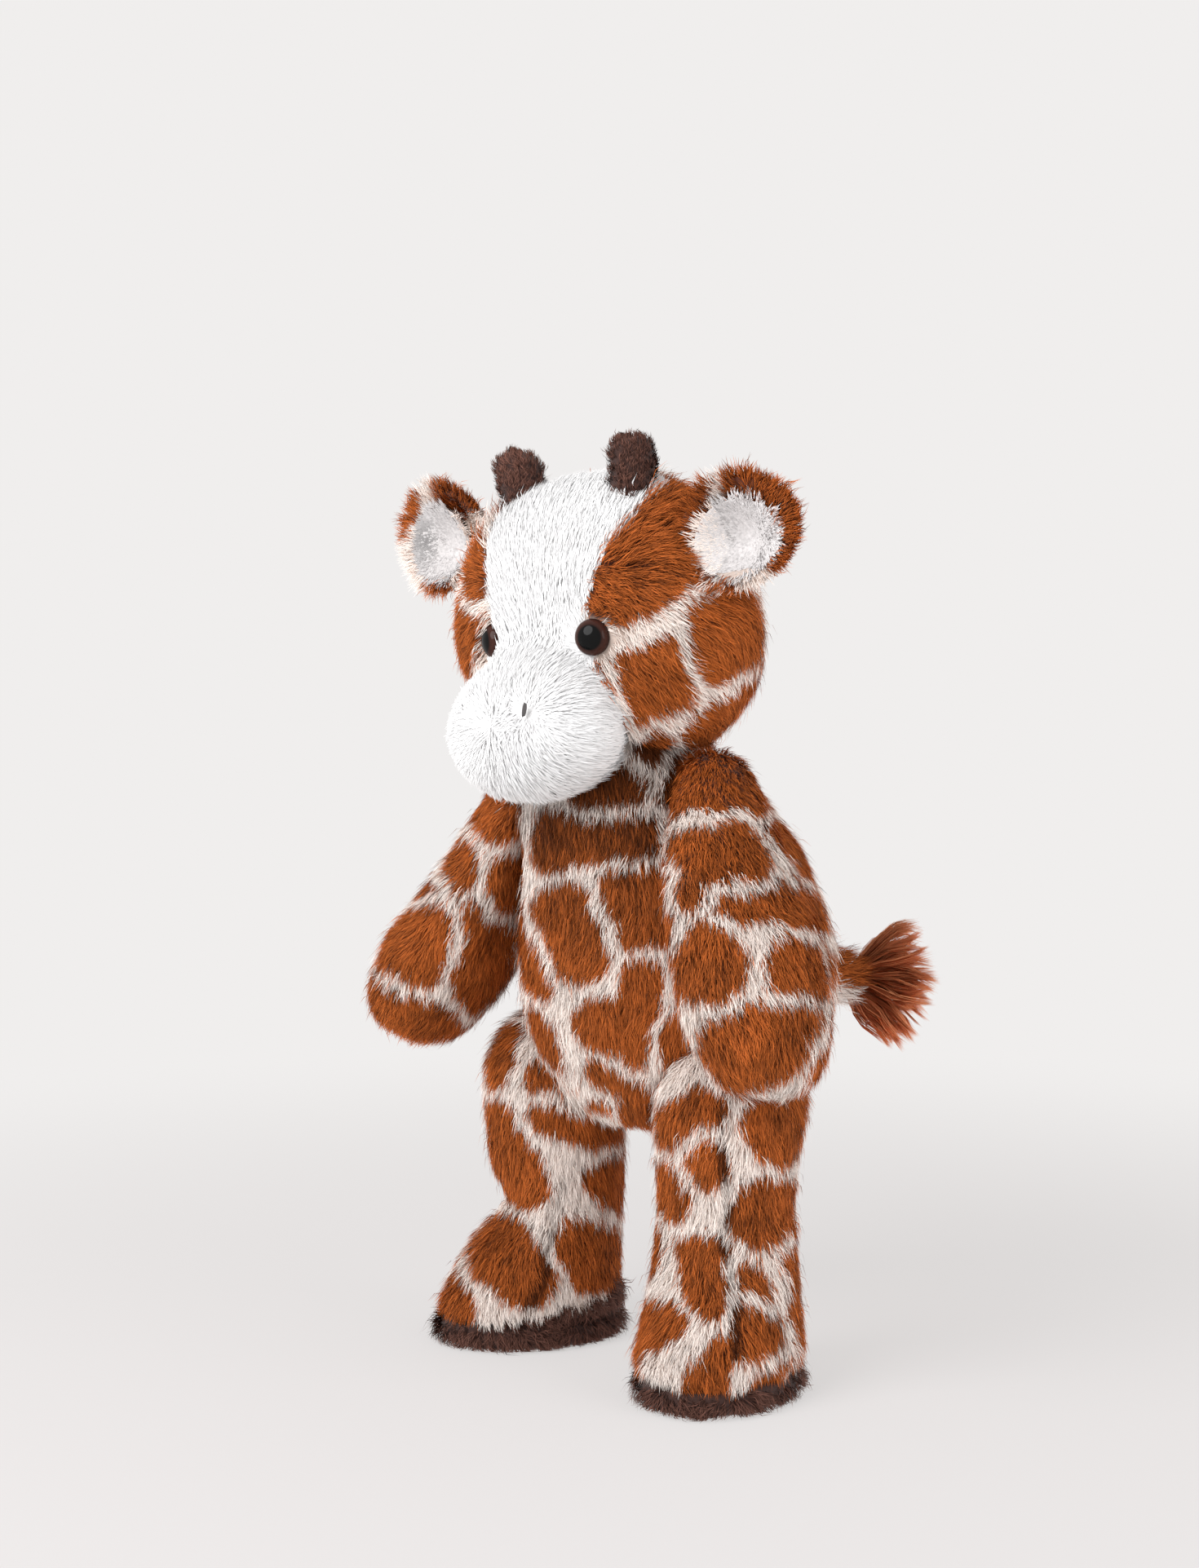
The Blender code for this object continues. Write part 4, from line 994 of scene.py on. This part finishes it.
class GIRAFFE_OT_body(bpy.types.Operator):
    """Grow the pile of the body, with a painted shadow under the chin"""

    bl_idname = "giraffe.body"
    bl_label = "Body pile"

    def execute(self, context):
        hidden = [(skin_tree("head_cloth"), 0.0005, 0.004)]
        for side, word in SIDES:
            hidden.append((skin_tree("arm_cloth_" + word), 0.0003, 0.0))
            hidden.append((skin_tree("leg_cloth_" + word), 0.0003, 0.003))
        hidden.append((tree_of(NODES["tail"]), 0.0005, 0.004))
        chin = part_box("torso_skin")[1][2]

        # Painted shadow under the chin: the front's pile is dyed darker near the head.
        def painted_chin_shadow(points):
            return 1.15 * np.exp(-(((chin - points[:, 2]) / 0.055) ** 2)) * (points[:, 1] < -0.045)

        names = ["torso_pile_" + word for word in ("chest", "front", "back", "rump")]
        patched_part(bpy.data.objects["torso_cloth"], names, "torso", 11, hidden, DOWN, painted_shade=painted_chin_shadow)
        return {"FINISHED"}


def horn_share(points, word, reach):
    """How near points are to the foot of a horn: 1 on its axis, 0 well away from it."""
    low, high, middle = cad_box("horn_" + word)
    off = np.linalg.norm((points - middle - HORN_SHIFT)[:, :2], axis=1)
    return np.exp(-((off / reach) ** 2)) * (points[:, 2] > low[2] - HORN_FOOT)


def round_fittings(points, field):
    """Turn the pile's flow away from the eyes and nostrils, and up along the horns."""
    for side, word in SIDES:
        reach, strength = (0.010, 3.0) if side > 0 else (0.006, 1.0)
        for node in ("eye_" + word, "nostril_" + word):
            off = points - cad_points(node).mean(axis=0)
            away = np.linalg.norm(off, axis=1, keepdims=True)
            field = field + unit(off) * strength * np.exp(-((away / reach) ** 2))
        near = horn_share(points, word, 0.014)[:, None]
        field = field * (1.0 - near) + np.array([0.0, 0.25, 1.0]) * near
    return field


def near_horns(points):
    """The pile stands up more round the feet of the horns."""
    return np.maximum(*(1.0 + 1.9 * horn_share(points, word, 0.013) for side, word in SIDES))


def head_field(points, normals):
    """Head pile: back and out over the brow, down over the cheeks, down the back of the head."""
    middle = cad_box("head_skin")[2]
    up = np.clip((points[:, 2] - middle[2] + 0.010) / 0.035, 0.0, 1.0)
    back = np.clip((points[:, 1] - middle[1] + 0.01) / 0.03, 0.0, 1.0)
    out = np.sign(points[:, 0]) * (1.0 - back)
    rise = (up * 1.25 - 1.0) * (1.0 - back) - back * 1.2
    return round_fittings(points, np.stack([0.55 * out, 0.75 * (1.0 - back) + 0.1, rise], axis=1))


def face_field(points, normals):
    """Face pile: away from the tip of the nose on all sides."""
    left, right = (cad_points("nostril_" + word).mean(axis=0) for side, word in SIDES)
    tip = (left + right) / 2.0 + np.array([0.0, 0.0, -0.006])
    return round_fittings(points, unit(points - tip))


class GIRAFFE_OT_head(bpy.types.Operator):
    """Grow the pile of the head: patched rust behind, white on the face"""

    bl_idname = "giraffe.head"
    bl_label = "Head pile"

    def execute(self, context):
        skin = bpy.data.objects["head_cloth"]
        panel, rust = tree_of(NODES["face_panel"]), tree_of(NODES["head_skin"])

        def is_face(points):
            near, far = (
                np.array([tree.find_nearest(Vector(point))[3] for point in points]) for tree in (panel, rust)
            )
            return near < far

        hidden = [(skin_tree("torso_cloth"), 0.0005, 0.004)]
        hidden.append((tree_of(NODES["eye_left"]), 0.0006, 0.008))
        hidden.append((tree_of(NODES["eye_right"]), 0.0006, 0.0))
        hidden.append((tree_of(NODES["nostril_left"]), 0.0002, 0.004))
        patched_part(
            skin, ["head_pile_front", "head_pile_middle", "head_pile_back"], "head", 23, hidden, head_field,
            keep=lambda points: ~is_face(points), white=is_face, lift=near_horns,
        )
        self.face(skin, is_face, hidden)
        return {"FINISHED"}

    def face(self, skin, is_face, hidden):
        """The white pile of the face."""
        sizes = bpy.context.scene.giraffe_sizes
        rng = np.random.default_rng(29)
        spots, free = cover(skin, rng, hidden, face_field, 0.03, 29, 14, is_face)
        size = free * rng.uniform(0.84, 0.90, len(free))
        rise = sizes.pile_rise * 0.55 * size * near_horns(spots[0])
        strands = grow(
            spots, rng, 17, sizes.tuft, size * sizes.pile, rise, 0.0, sizes.pile_width * 2.2,
            stray=0.06, wave=0.01, vary=(0.88, 1.05), loose=(0.015, 1.8), tilt=0.05,
        )
        rows = dye_rows(0.66, 0.03, rng, len(strands[1]))
        names = ["face_pile_left", "face_pile_right"]
        pile(names, "head", "white_plush", fur("white"), strands, rows, axis=0, soften=1.0)


class GIRAFFE_OT_arms(bpy.types.Operator):
    """Grow the pile of both arms"""

    bl_idname = "giraffe.arms"
    bl_label = "Arm pile"

    def execute(self, context):
        hidden = [(skin_tree("torso_cloth"), 0.0003, 0.0), (skin_tree("head_cloth"), 0.0003, 0.0)]
        for side, word in SIDES:
            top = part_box("arm_skin_" + word)[1][2]
            patched_part(
                bpy.data.objects["arm_cloth_" + word],
                ["arm_pile_" + word + "_front", "arm_pile_" + word + "_back"],
                "arm_" + word, 31 + side, hidden, steady(side * 0.4, -0.15, -1.0),
                taper=lambda points: np.clip((top - points[:, 2]) / 0.03, 0.7, 1.0),
            )
        return {"FINISHED"}


class GIRAFFE_OT_legs(bpy.types.Operator):
    """Grow the pile of both legs and soles"""

    bl_idname = "giraffe.legs"
    bl_label = "Leg pile"

    def execute(self, context):
        hidden = [(skin_tree("torso_cloth"), 0.0005, 0.005)]
        for side, word in SIDES:
            leg = bpy.data.objects["leg_cloth_" + word]

            def over_sole(points):
                return points[:, 2] - self.sole_line(points, side)

            def seam(points):
                return np.clip(1.0 + stroke_depth(project(points)[0], LEG_SEAMS[side]) / SEAM_SOFT, 0.0, 1.0)

            patched_part(
                leg, ["leg_pile_" + word + "_front", "leg_pile_" + word + "_back"],
                "leg_" + word, 41 + side, hidden, DOWN,
                keep=lambda points: over_sole(points) > 0.0025,
                taper=lambda points: np.clip(over_sole(points) / 0.010, 0.7, 1.0) * (1.0 - 0.45 * seam(points)),
                # Painted shade in the parting down the front of the leg, where the pile is also shorter.
                painted_shade=lambda points: 0.9 * seam(points),
            )
            self.sole(leg, word, side)
        return {"FINISHED"}

    def sole_line(self, points, side):
        """How high the brown pile of the sole reaches up the foot."""
        across = points @ np.array(camera_frame()[1])
        share = np.clip((across + 0.100) / 0.065, 0.0, 1.0) if side < 0 else 0.0
        return 0.0072 + 0.0118 * share + 0.0011 * ripple(points, 0.014, 7) + 0.0011 * ripple(points, 0.005, 8)

    def sole(self, leg, word, side):
        """A dark sole with a short pile round its edge, which reaches up the foot on the right."""
        sizes = bpy.context.scene.giraffe_sizes
        rng = np.random.default_rng(47)
        sole = cad_copy("sole_cloth_" + word, "sole_" + word, smoother=True)
        paint(sole, tuple(bpy.context.scene.giraffe_colours.brown_root))
        finish_piece(sole, "leg_" + word, "brown_plush", "sole_" + word)

        def round_and_down(points, normals):
            return np.stack([-0.5 * normals[:, 1], 0.5 * normals[:, 0], np.full(len(points), -1.0)], axis=1)

        for skin, name, low in ((sole, "sole_pile_", 0.0012), (leg, "sole_trim_", 0.003)):
            spots, free = cover(
                skin, rng, [], round_and_down, 0.9, 47, 10,
                lambda points: (points[:, 2] > low) & (points[:, 2] < self.sole_line(points, side)),
            )
            outside = np.abs(spots[1][:, 2]) < 0.8
            if not outside.any():
                # The line stays below the cloth of this leg, so there is no trim on it.
                continue
            spots, free = only(outside, spots, free)
            size = rng.uniform(0.7, 1.2, len(free))
            strands = grow(
                spots, rng, 10, 0.0018, size * 0.0062, size * 0.0034, 0.5, sizes.pile_width, stray=0.5
            )
            rows = dye_rows(0.5, 0.25, rng, len(strands[1]))
            pile([name + word], "leg_" + word, "brown_plush", fur("brown"), strands, rows)


class GIRAFFE_OT_ears(bpy.types.Operator):
    """Make both ears: a patched back whose pile wraps the rim, and a short white lining"""

    bl_idname = "giraffe.ears"
    bl_label = "Ears"

    def execute(self, context):
        head = (skin_tree("head_cloth"), 0.0005, 0.005)
        for side, word in SIDES:
            back = cad_copy("ear_cloth_" + word, "ear_" + word, smoother=True)
            self.shrink(back, word, side)
            finish_piece(back, "ear_" + word, "rust_plush", "ear_" + word)
            lining = cad_copy("ear_lining_cloth_" + word, "ear_lining_" + word, smoother=True)
            self.shrink(lining, word, side)
            self.lower(lining, side)
            paint(lining, tuple(context.scene.giraffe_colours.lining))
            finish_piece(lining, "ear_" + word, "lining_plush", "ear_lining_" + word)
            middle = read_points(lining.data).mean(axis=0)

            def outwards(points, normals):
                return points - middle

            patched_part(
                back, ["ear_pile_" + word], "ear_" + word, 53 + side, [head, (tree_of(lining), 0.0006, 0.0)],
                outwards, each=12, length=0.75,
                taper=lambda points: np.clip(((points[:, 0] - middle[0]) * side + 0.035) / 0.02, 0.5, 1.0),
            )
            self.line(lining, word, side, middle, head, outwards)
        return {"FINISHED"}

    def line(self, lining, word, side, middle, head, outwards):
        """The lining's white pile with painted shade in its hollow, and a fringe of the body's pile beside the
        head.
        """
        sizes = bpy.context.scene.giraffe_sizes
        rng = np.random.default_rng(59 + side)
        in_front = middle[1] + 0.02
        spots, free = cover(
            lining, rng, [head], outwards, 0.3, 59, 12, lambda points: points[:, 1] < in_front
        )
        spots, free = only(spots[1][:, 1] < 0.15, spots, free)
        rim = np.linalg.norm(spots[0] - middle, axis=1) / sizes.cup_radius
        size = free * rng.uniform(0.8, 1.15, len(free)) * (0.9 + 1.1 * np.clip(rim, 0.0, 1.1) ** 3)
        path, across, facing = grow(
            spots, rng, 12, 0.0022, size * sizes.short_pile, size * sizes.short_pile * 0.15, 0.0,
            sizes.pile_width * 2.2, stray=0.15, wave=0.02, loose=(0.0, 1.0), tilt=0.08,
        )
        # Painted shade of the ear's hollow: strands near a point towards the head take darker shades.
        deep = middle + np.array([-0.0115, 0.0, 0.002])
        cup = np.exp(-((np.linalg.norm(path[0] - deep, axis=1) / 0.0115) ** 2))
        rows = dye_rows(0.76 - 0.74 * cup, 0.02, rng, len(cup))
        # The fringe keeps the painted shade of the hollow, among the cream shades.
        fringe_rows = np.clip(0.72 + rows * 0.25, 0.52, 0.98)
        inner = (path[0][:, 0] - middle[0]) * side < -sizes.fringe
        for name, kept, kind, share, dye in (
            ("ear_lining_pile_", ~inner, "lining", 1.0, rows),
            ("ear_fringe_", inner, "patched", 0.5, fringe_rows),
        ):
            strands = ([line[kept] for line in path], across[kept] * share, facing[kept])
            pile([name + word], "ear_" + word, "lining_plush", fur(kind), strands, dye[kept], soften=1.0)

    def shrink(self, piece, word, side):
        """Make room round an ear for its pile, about the place where it is sewn to the head, and cup it."""
        sizes = bpy.context.scene.giraffe_sizes
        low, high = (Vector(corner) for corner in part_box("ear_" + word))
        root = Vector((low.x if side > 0 else high.x, (low.y + high.y) / 2.0, low.z * 0.7 + high.z * 0.3))
        share = 0.87 if side > 0 else 0.95
        edit(piece, bpy.ops.transform.resize, value=(share, share, share), center_override=root)
        points = read_points(piece.data)
        deepest = root + (((low + high) / 2.0) - root) * 0.86 * share
        off = np.hypot(points[:, 0] - deepest.x, points[:, 2] - deepest.z) / sizes.cup_radius
        points[:, 1] += sizes.cup_depth * np.clip(1.0 - off * off, 0.0, 1.0) ** 1.5
        write_points(piece.data, points)

    def lower(self, lining, side):
        """Draw the lining in towards the lower outer edge of its ear, so that more pile shows over it."""
        points = read_points(lining.data)
        middle = points.mean(axis=0)
        drop = np.array([side * 0.0006, 0.0, -0.0028])
        write_points(lining.data, middle + (points - middle) * np.array([0.94, 1.0, 0.92]) + drop)


class GIRAFFE_OT_horns(bpy.types.Operator):
    """Make both horns: a rounded post with a velvet pile"""

    bl_idname = "giraffe.horns"
    bl_label = "Horns"

    def execute(self, context):
        sizes = context.scene.giraffe_sizes
        hidden = [(skin_tree("head_cloth"), 0.0, 0.0)]
        for side, word in SIDES:
            name = "horn_" + word
            horn = self.post(name, side)
            paint(horn, tuple(context.scene.giraffe_colours.brown_root))
            finish_piece(horn, "head", "brown_plush", name)
            rng = np.random.default_rng(61 + side)
            spots, free = cover(horn, rng, hidden, steady(0.0, 0.0, 1.0), 0.6, 61, 10)
            size = rng.uniform(0.7, 1.2, len(free))
            strands = grow(
                spots, rng, 10, 0.0013, size * sizes.velvet * 1.7, size * sizes.velvet, 0.35,
                sizes.pile_width * 1.1, stray=0.4,
            )
            # Painted light: the right horn's pile takes lighter shades than the left horn's.
            rows = dye_rows(0.55 - 0.15 * side, 0.25, rng, len(strands[1]))
            pile([name + "_velvet"], "head", "brown_plush", fur("brown"), strands, rows)
        return {"FINISHED"}

    def post(self, name, side):
        """A round post with a blunt, slightly lumpy top, near the CAD horn's axis. The right one leans."""
        low, high, middle = cad_box(name)
        radius = (high[0] - low[0]) / 2.0 * 0.93
        tall = high[2] - low[2] - 0.001
        place = Vector(np.array((middle[0], middle[1], low[2] + tall / 2.0)) + HORN_SHIFT)
        bpy.ops.mesh.primitive_cylinder_add(vertices=24, radius=radius, depth=tall, location=place)
        horn = bpy.context.object
        horn.name = name + "_cloth"
        horn.data.name = horn.name
        bpy.ops.object.transform_apply(location=True, rotation=False, scale=False)
        apply_modifier(horn, "BEVEL", width=radius * 0.8, segments=6, limit_method="ANGLE")
        edit(horn, bpy.ops.mesh.subdivide, number_cuts=2)
        points, normals = read_points(horn.data), read_points(horn.data, "normal")
        points += normals * (0.0007 * ripple(points, 0.009, 67 + side))[:, None]
        aside, lean = (0.0, 0.0) if side > 0 else (0.0035, 0.16)
        rise = np.maximum(points[:, 2:3] - low[2], 0.0)
        write_points(horn.data, points + np.array(camera_frame()[1]) * (aside - rise * lean))
        return horn


def turned_frame(node, inner):
    """The middle of a turned CAD piece and its axis, which points away from another node."""
    points = cad_points(node)
    middle = points.mean(axis=0)
    values, axes = np.linalg.eigh(np.cov((points - middle).T))
    axis = axes[:, 0 if values[1] - values[0] > values[2] - values[1] else 2]
    away = (middle - cad_points(inner).mean(axis=0)) @ axis
    return middle, axis if away >= 0.0 else -axis


class GIRAFFE_OT_eyes(bpy.types.Operator):
    """Make both eyes: a glossy dome in a brown ring"""

    bl_idname = "giraffe.eyes"
    bl_label = "Eyes"

    def execute(self, context):
        sizes = context.scene.giraffe_sizes
        for side, word in SIDES:
            node = "eye_" + word
            middle, axis = turned_frame(node, "head_filling")
            lift = sizes.eye_lift * (1.0 if side > 0 else -0.8)
            apex = ((cad_points(node) - middle) @ axis).max()
            base = Vector(middle + axis * (apex - sizes.eye_height + lift))
            bpy.ops.mesh.primitive_uv_sphere_add(
                segments=48, ring_count=24, radius=sizes.eye_radius, location=base,
                rotation=Vector(axis).to_track_quat("Z", "Y").to_euler(),
            )
            eye = context.object
            eye.name = node + "_dome"
            eye.scale = (1.0, 1.0, sizes.eye_height / sizes.eye_radius)
            bpy.ops.object.transform_apply(location=True, rotation=True, scale=True)
            shift = Vector((side, 0.0, 0.0)) * sizes.pupil_shift
            centre = base + Vector(axis) * sizes.eye_height + shift
            eye.data.materials.append(eye_material("eye_gloss_" + word, centre))
            finish_piece(eye, "head", "eye_plastic", node)
        return {"FINISHED"}


class GIRAFFE_OT_nostrils(bpy.types.Operator):
    """Stitch both nostrils"""

    bl_idname = "giraffe.nostrils"
    bl_label = "Nostrils"

    def execute(self, context):
        sizes, dyes = context.scene.giraffe_sizes, context.scene.giraffe_colours
        finish = thread_material("nostril_thread", tuple(dyes.thread))
        for side, word in SIDES:
            node = "nostril_" + word
            depth = -0.0013 if side > 0 else 0.0010
            points = cad_points(node)
            middle = points.mean(axis=0)
            up = Vector(np.linalg.eigh(np.cov((points - middle).T))[1][:, 2])
            up = up if up.z > 0.0 else -up
            half = float(np.abs((points - middle) @ np.array(up)).max())
            threads = []
            for lean in (-1.0, -0.5, 0.0, 0.5, 1.0):
                bpy.ops.mesh.primitive_uv_sphere_add(segments=10, ring_count=8, radius=1.0)
                thread = context.object
                thread.scale = (sizes.stitch * 0.8, sizes.stitch * 1.2, half * (0.85 - 0.12 * abs(lean)))
                thread.rotation_euler = up.to_track_quat("Z", "Y").to_euler()
                ahead = Vector((lean * sizes.stitch * 1.1, depth + abs(lean) * 0.0005, 0.0))
                thread.location = Vector(middle) + ahead
                bpy.ops.object.transform_apply(location=True, rotation=True, scale=True)
                threads.append(thread)
            take(*threads)
            bpy.ops.object.join()
            threads[0].name = node + "_stitches"
            threads[0].data.materials.append(finish)
            finish_piece(threads[0], "head", "thread", node)
        return {"FINISHED"}


class GIRAFFE_OT_tail(bpy.types.Operator):
    """Make the tail and its tassel of loose yarn"""

    bl_idname = "giraffe.tail"
    bl_label = "Tail"

    def execute(self, context):
        sizes = context.scene.giraffe_sizes
        stub = cad_copy("tail_cloth", "tail")
        apply_modifier(stub, "REMESH", mode="VOXEL", voxel_size=0.0015)
        middle, axis = turned_frame("tail_tassel", "tail")
        rng = np.random.default_rng(71)
        finish_piece(stub, "tail", "rust_plush", "tail")
        paint(stub, tuple(context.scene.giraffe_colours.rust_root))
        spots, free = cover(stub, rng, [(skin_tree("torso_cloth"), 0.0, 0.004)], steady(*axis), 0.25, 71, 12)
        size = free * rng.uniform(0.85, 1.1, len(free))
        strands = grow(
            spots, rng, 12, 0.002, size * 0.0105, size * 0.0060, 0.2, sizes.pile_width, stray=0.2
        )
        under = np.repeat(spots[1][:, 2] < -0.35, 12)
        shade = dye_rows(0.5, 0.2, rng, len(under))
        rows = np.where(under, 0.5 + shade * 0.5, shade * 0.5)
        pile(["tail_pile"], "tail", "rust_plush", fur("patched"), strands, rows)
        self.tassel(middle, axis, rng)
        return {"FINISHED"}

    def tassel(self, middle, axis, rng):
        """Locks of yarn that fan out from the end of the tail."""
        sizes = bpy.context.scene.giraffe_sizes
        count, each, steps, golden_turn = 120, 56, 6, 2.39996
        along = (cad_points("tail_tassel") - middle) @ axis
        start, reach = middle + axis * along.min(), along.max() - along.min()
        side = unit(np.cross(axis, np.array([0.0, 0.0, 1.0])))
        lift = np.cross(side, axis)
        spin = np.arange(count) * golden_turn + rng.normal(0.0, 0.15, count)
        spread = np.sqrt((np.arange(count) + 0.5) / count) * math.radians(43.0)
        around = side * np.cos(spin)[:, None] + lift * np.sin(spin)[:, None]
        flows = axis * np.cos(spread)[:, None] + around * np.sin(spread)[:, None]
        flows = unit(flows - np.array([0.0, 0.0, 0.20]))
        across = unit(np.cross(flows, np.array([0.3, 0.2, 1.0])))
        normals = np.cross(across, flows)
        centres = start + axis * 0.004 + around * np.sin(spread)[:, None] * 0.0075
        long = reach * rng.uniform(0.82, 1.10, count)
        strands = grow(
            (centres, normals, flows), rng, each, sizes.lock_radius, long, rng.normal(0.0, 0.0045, count), 0.1,
            sizes.pile_width * 1.3, steps=steps, stray=0.025, wave=0.02, vary=(0.93, 1.02), loose=(0.0, 1.0),
        )
        phase = rng.uniform(0.0, 2.0 * math.pi, count)
        for i, spot in enumerate(strands[0]):
            sway = np.sin(phase + i * 1.25)[:, None] * across + np.cos(phase * 1.7 + i * 1.1)[:, None] * normals
            spot += np.repeat(sway, each, axis=0) * (0.0024 * i / (steps - 1.0))
        rows = dye_rows(np.repeat(rng.normal(0.5, 0.16, count), each), 0.12, rng, count * each)
        taper = (1.0, 1.0, 1.0, 0.95, 0.9)
        pile(["tassel_pile"], "tail", "tassel_yarn", fur("tassel_yarn"), strands, rows, taper=taper)
        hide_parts("tail_tassel")


# Stage

def calculate(tree, operation, first, second):
    """One sum of two values."""
    return add_node(tree, "Math", {0: first, 1: second}, operation=operation).outputs[0]


def is_ray(tree, *kinds):
    """1 for a ray of one of some kinds, else 0."""
    path = add_node(tree, "LightPath")
    first, *others = (path.outputs["Is " + kind + " Ray"] for kind in kinds)
    for other in others:
        first = calculate(tree, "MAXIMUM", first, other)
    return first


def mixed_floor(backdrop, shade):
    """A floor that keeps soft shadows near the toy and fades into the backdrop's colour."""
    made, tree, shader = new_material("pale_floor")
    feed(tree, shader, {"Base Color": (*shade, 1.0), "Roughness": 0.9})
    glow = add_node(tree, "Emission", {"Color": (*backdrop, 1.0)})
    # For rays that the camera doesn't see, the floor glows and lights the toy from below like a lamp.
    bounce = add_node(tree, "Emission", {"Color": (*backdrop, 1.0), "Strength": 1.35})
    far = add_node(tree, "VectorMath", {0: object_places(tree)}, operation="LENGTH")
    span = {"From Min": 0.18, "From Max": 0.75, "To Min": 0.64, "To Max": 1.0, "Value": far.outputs["Value"]}
    fade = add_node(tree, "MapRange", span, interpolation_type="SMOOTHSTEP")
    seen = is_ray(tree, "Camera", "Glossy")
    faded = calculate(tree, "MULTIPLY", seen, fade.outputs["Result"])
    mix = add_node(tree, "MixShader", {0: faded, 1: shader.outputs[0], 2: glow.outputs[0]})
    unseen = calculate(tree, "SUBTRACT", 1.0, seen)
    sides = add_node(tree, "MixShader", {0: unseen, 1: mix.outputs[0], 2: bounce.outputs[0]})
    feed(tree, tree.nodes["Material Output"], {"Surface": sides.outputs[0]})
    return made


class GIRAFFE_OT_stage(bpy.types.Operator):
    """Set up the camera, the lights and a pale floor"""

    bl_idname = "giraffe.stage"
    bl_label = "Stage"

    def execute(self, context):
        scene = context.scene
        stage, dyes = scene.giraffe_stage, scene.giraffe_colours
        scene.view_settings.view_transform = "Standard"
        place, right, up, back = camera_frame()
        turned = Matrix((right, up, back)).transposed().to_4x4()
        turned.translation = place
        bpy.ops.object.camera_add()
        camera = context.object
        camera.name = "camera"
        camera.matrix_world = turned
        camera.data.lens = stage.lens
        camera.data.sensor_width = SENSOR
        camera.data.clip_start = 0.01
        scene.camera = camera
        bpy.ops.mesh.primitive_plane_add(size=8.0)
        floor = context.object
        floor.name = "floor"
        floor.data.materials.append(mixed_floor(tuple(dyes.floor), tuple(dyes.floor_shade)))
        self.lamp("key_light", stage.key, place + up * 0.55 - right * 0.75 - back * 0.15)
        self.lamp("fill_light", stage.fill, place + up * 0.25 + right * 0.9 - back * 0.2)
        self.sky(scene, stage.sky, tuple(dyes.floor))
        return {"FINISHED"}

    def lamp(self, name, power, place):
        """A large soft lamp that looks at the toy."""
        bpy.ops.object.light_add(type="AREA", location=place)
        lamp = bpy.context.object
        lamp.name = name
        lamp.data.energy = power
        lamp.data.shape = "DISK"
        lamp.data.size = LAMP_SIZE
        lamp.rotation_euler = (TOY_HEART - place).to_track_quat("-Z", "Y").to_euler()

    def sky(self, scene, strength, backdrop):
        """Even light all round, with the backdrop's colour where the camera sees it."""
        scene.world = scene.world or bpy.data.worlds.new("studio")
        scene.world.use_nodes = True
        tree = scene.world.node_tree
        tree.nodes.clear()
        light = add_node(tree, "Background", {"Color": SKY_COLOUR, "Strength": strength})
        seen = add_node(tree, "Background", {"Color": (*backdrop, 1.0)})
        direct = is_ray(tree, "Camera", "Glossy", "Transmission")
        mix = add_node(tree, "MixShader", {0: direct, 1: light.outputs[0], 2: seen.outputs[0]})
        add_node(tree, "OutputWorld", {"Surface": mix.outputs[0]})


class GIRAFFE_PT_panel(bpy.types.Panel):
    """The giraffe's steps, in order"""

    bl_idname = "GIRAFFE_PT_panel"
    bl_label = "Plush giraffe"
    bl_space_type = "VIEW_3D"
    bl_region_type = "UI"
    bl_category = "Giraffe"

    def draw(self, context):
        for step in STEPS:
            self.layout.operator(step.bl_idname)
        for group in (context.scene.giraffe_sizes, context.scene.giraffe_colours, context.scene.giraffe_stage):
            box = self.layout.box()
            for name in group.bl_rna.properties.keys():
                if name not in ("rna_type", "name"):
                    box.prop(group, name)


STEPS = (
    GIRAFFE_OT_stage,
    GIRAFFE_OT_skins,
    GIRAFFE_OT_body,
    GIRAFFE_OT_head,
    GIRAFFE_OT_arms,
    GIRAFFE_OT_legs,
    GIRAFFE_OT_ears,
    GIRAFFE_OT_horns,
    GIRAFFE_OT_eyes,
    GIRAFFE_OT_nostrils,
    GIRAFFE_OT_tail,
)
GROUPS = (
    (GiraffeSizes, "giraffe_sizes"),
    (GiraffeColours, "giraffe_colours"),
    (GiraffeStage, "giraffe_stage"),
)


def register():
    """Register the groups, the steps and the panel."""
    for group, name in GROUPS:
        bpy.utils.register_class(group)
        setattr(bpy.types.Scene, name, bpy.props.PointerProperty(type=group))
    for item in STEPS + (GIRAFFE_PT_panel,):
        bpy.utils.register_class(item)


def unregister():
    """Take them away again."""
    for item in reversed(STEPS + (GIRAFFE_PT_panel,)):
        bpy.utils.unregister_class(item)
    for group, name in reversed(GROUPS):
        delattr(bpy.types.Scene, name)
        bpy.utils.unregister_class(group)


def main():
    """Dress the frame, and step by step."""
    register()
    for step in STEPS:
        area, word = step.bl_idname.split(".")
        getattr(getattr(bpy.ops, area), word)()


if __name__ == "__main__":
    main()
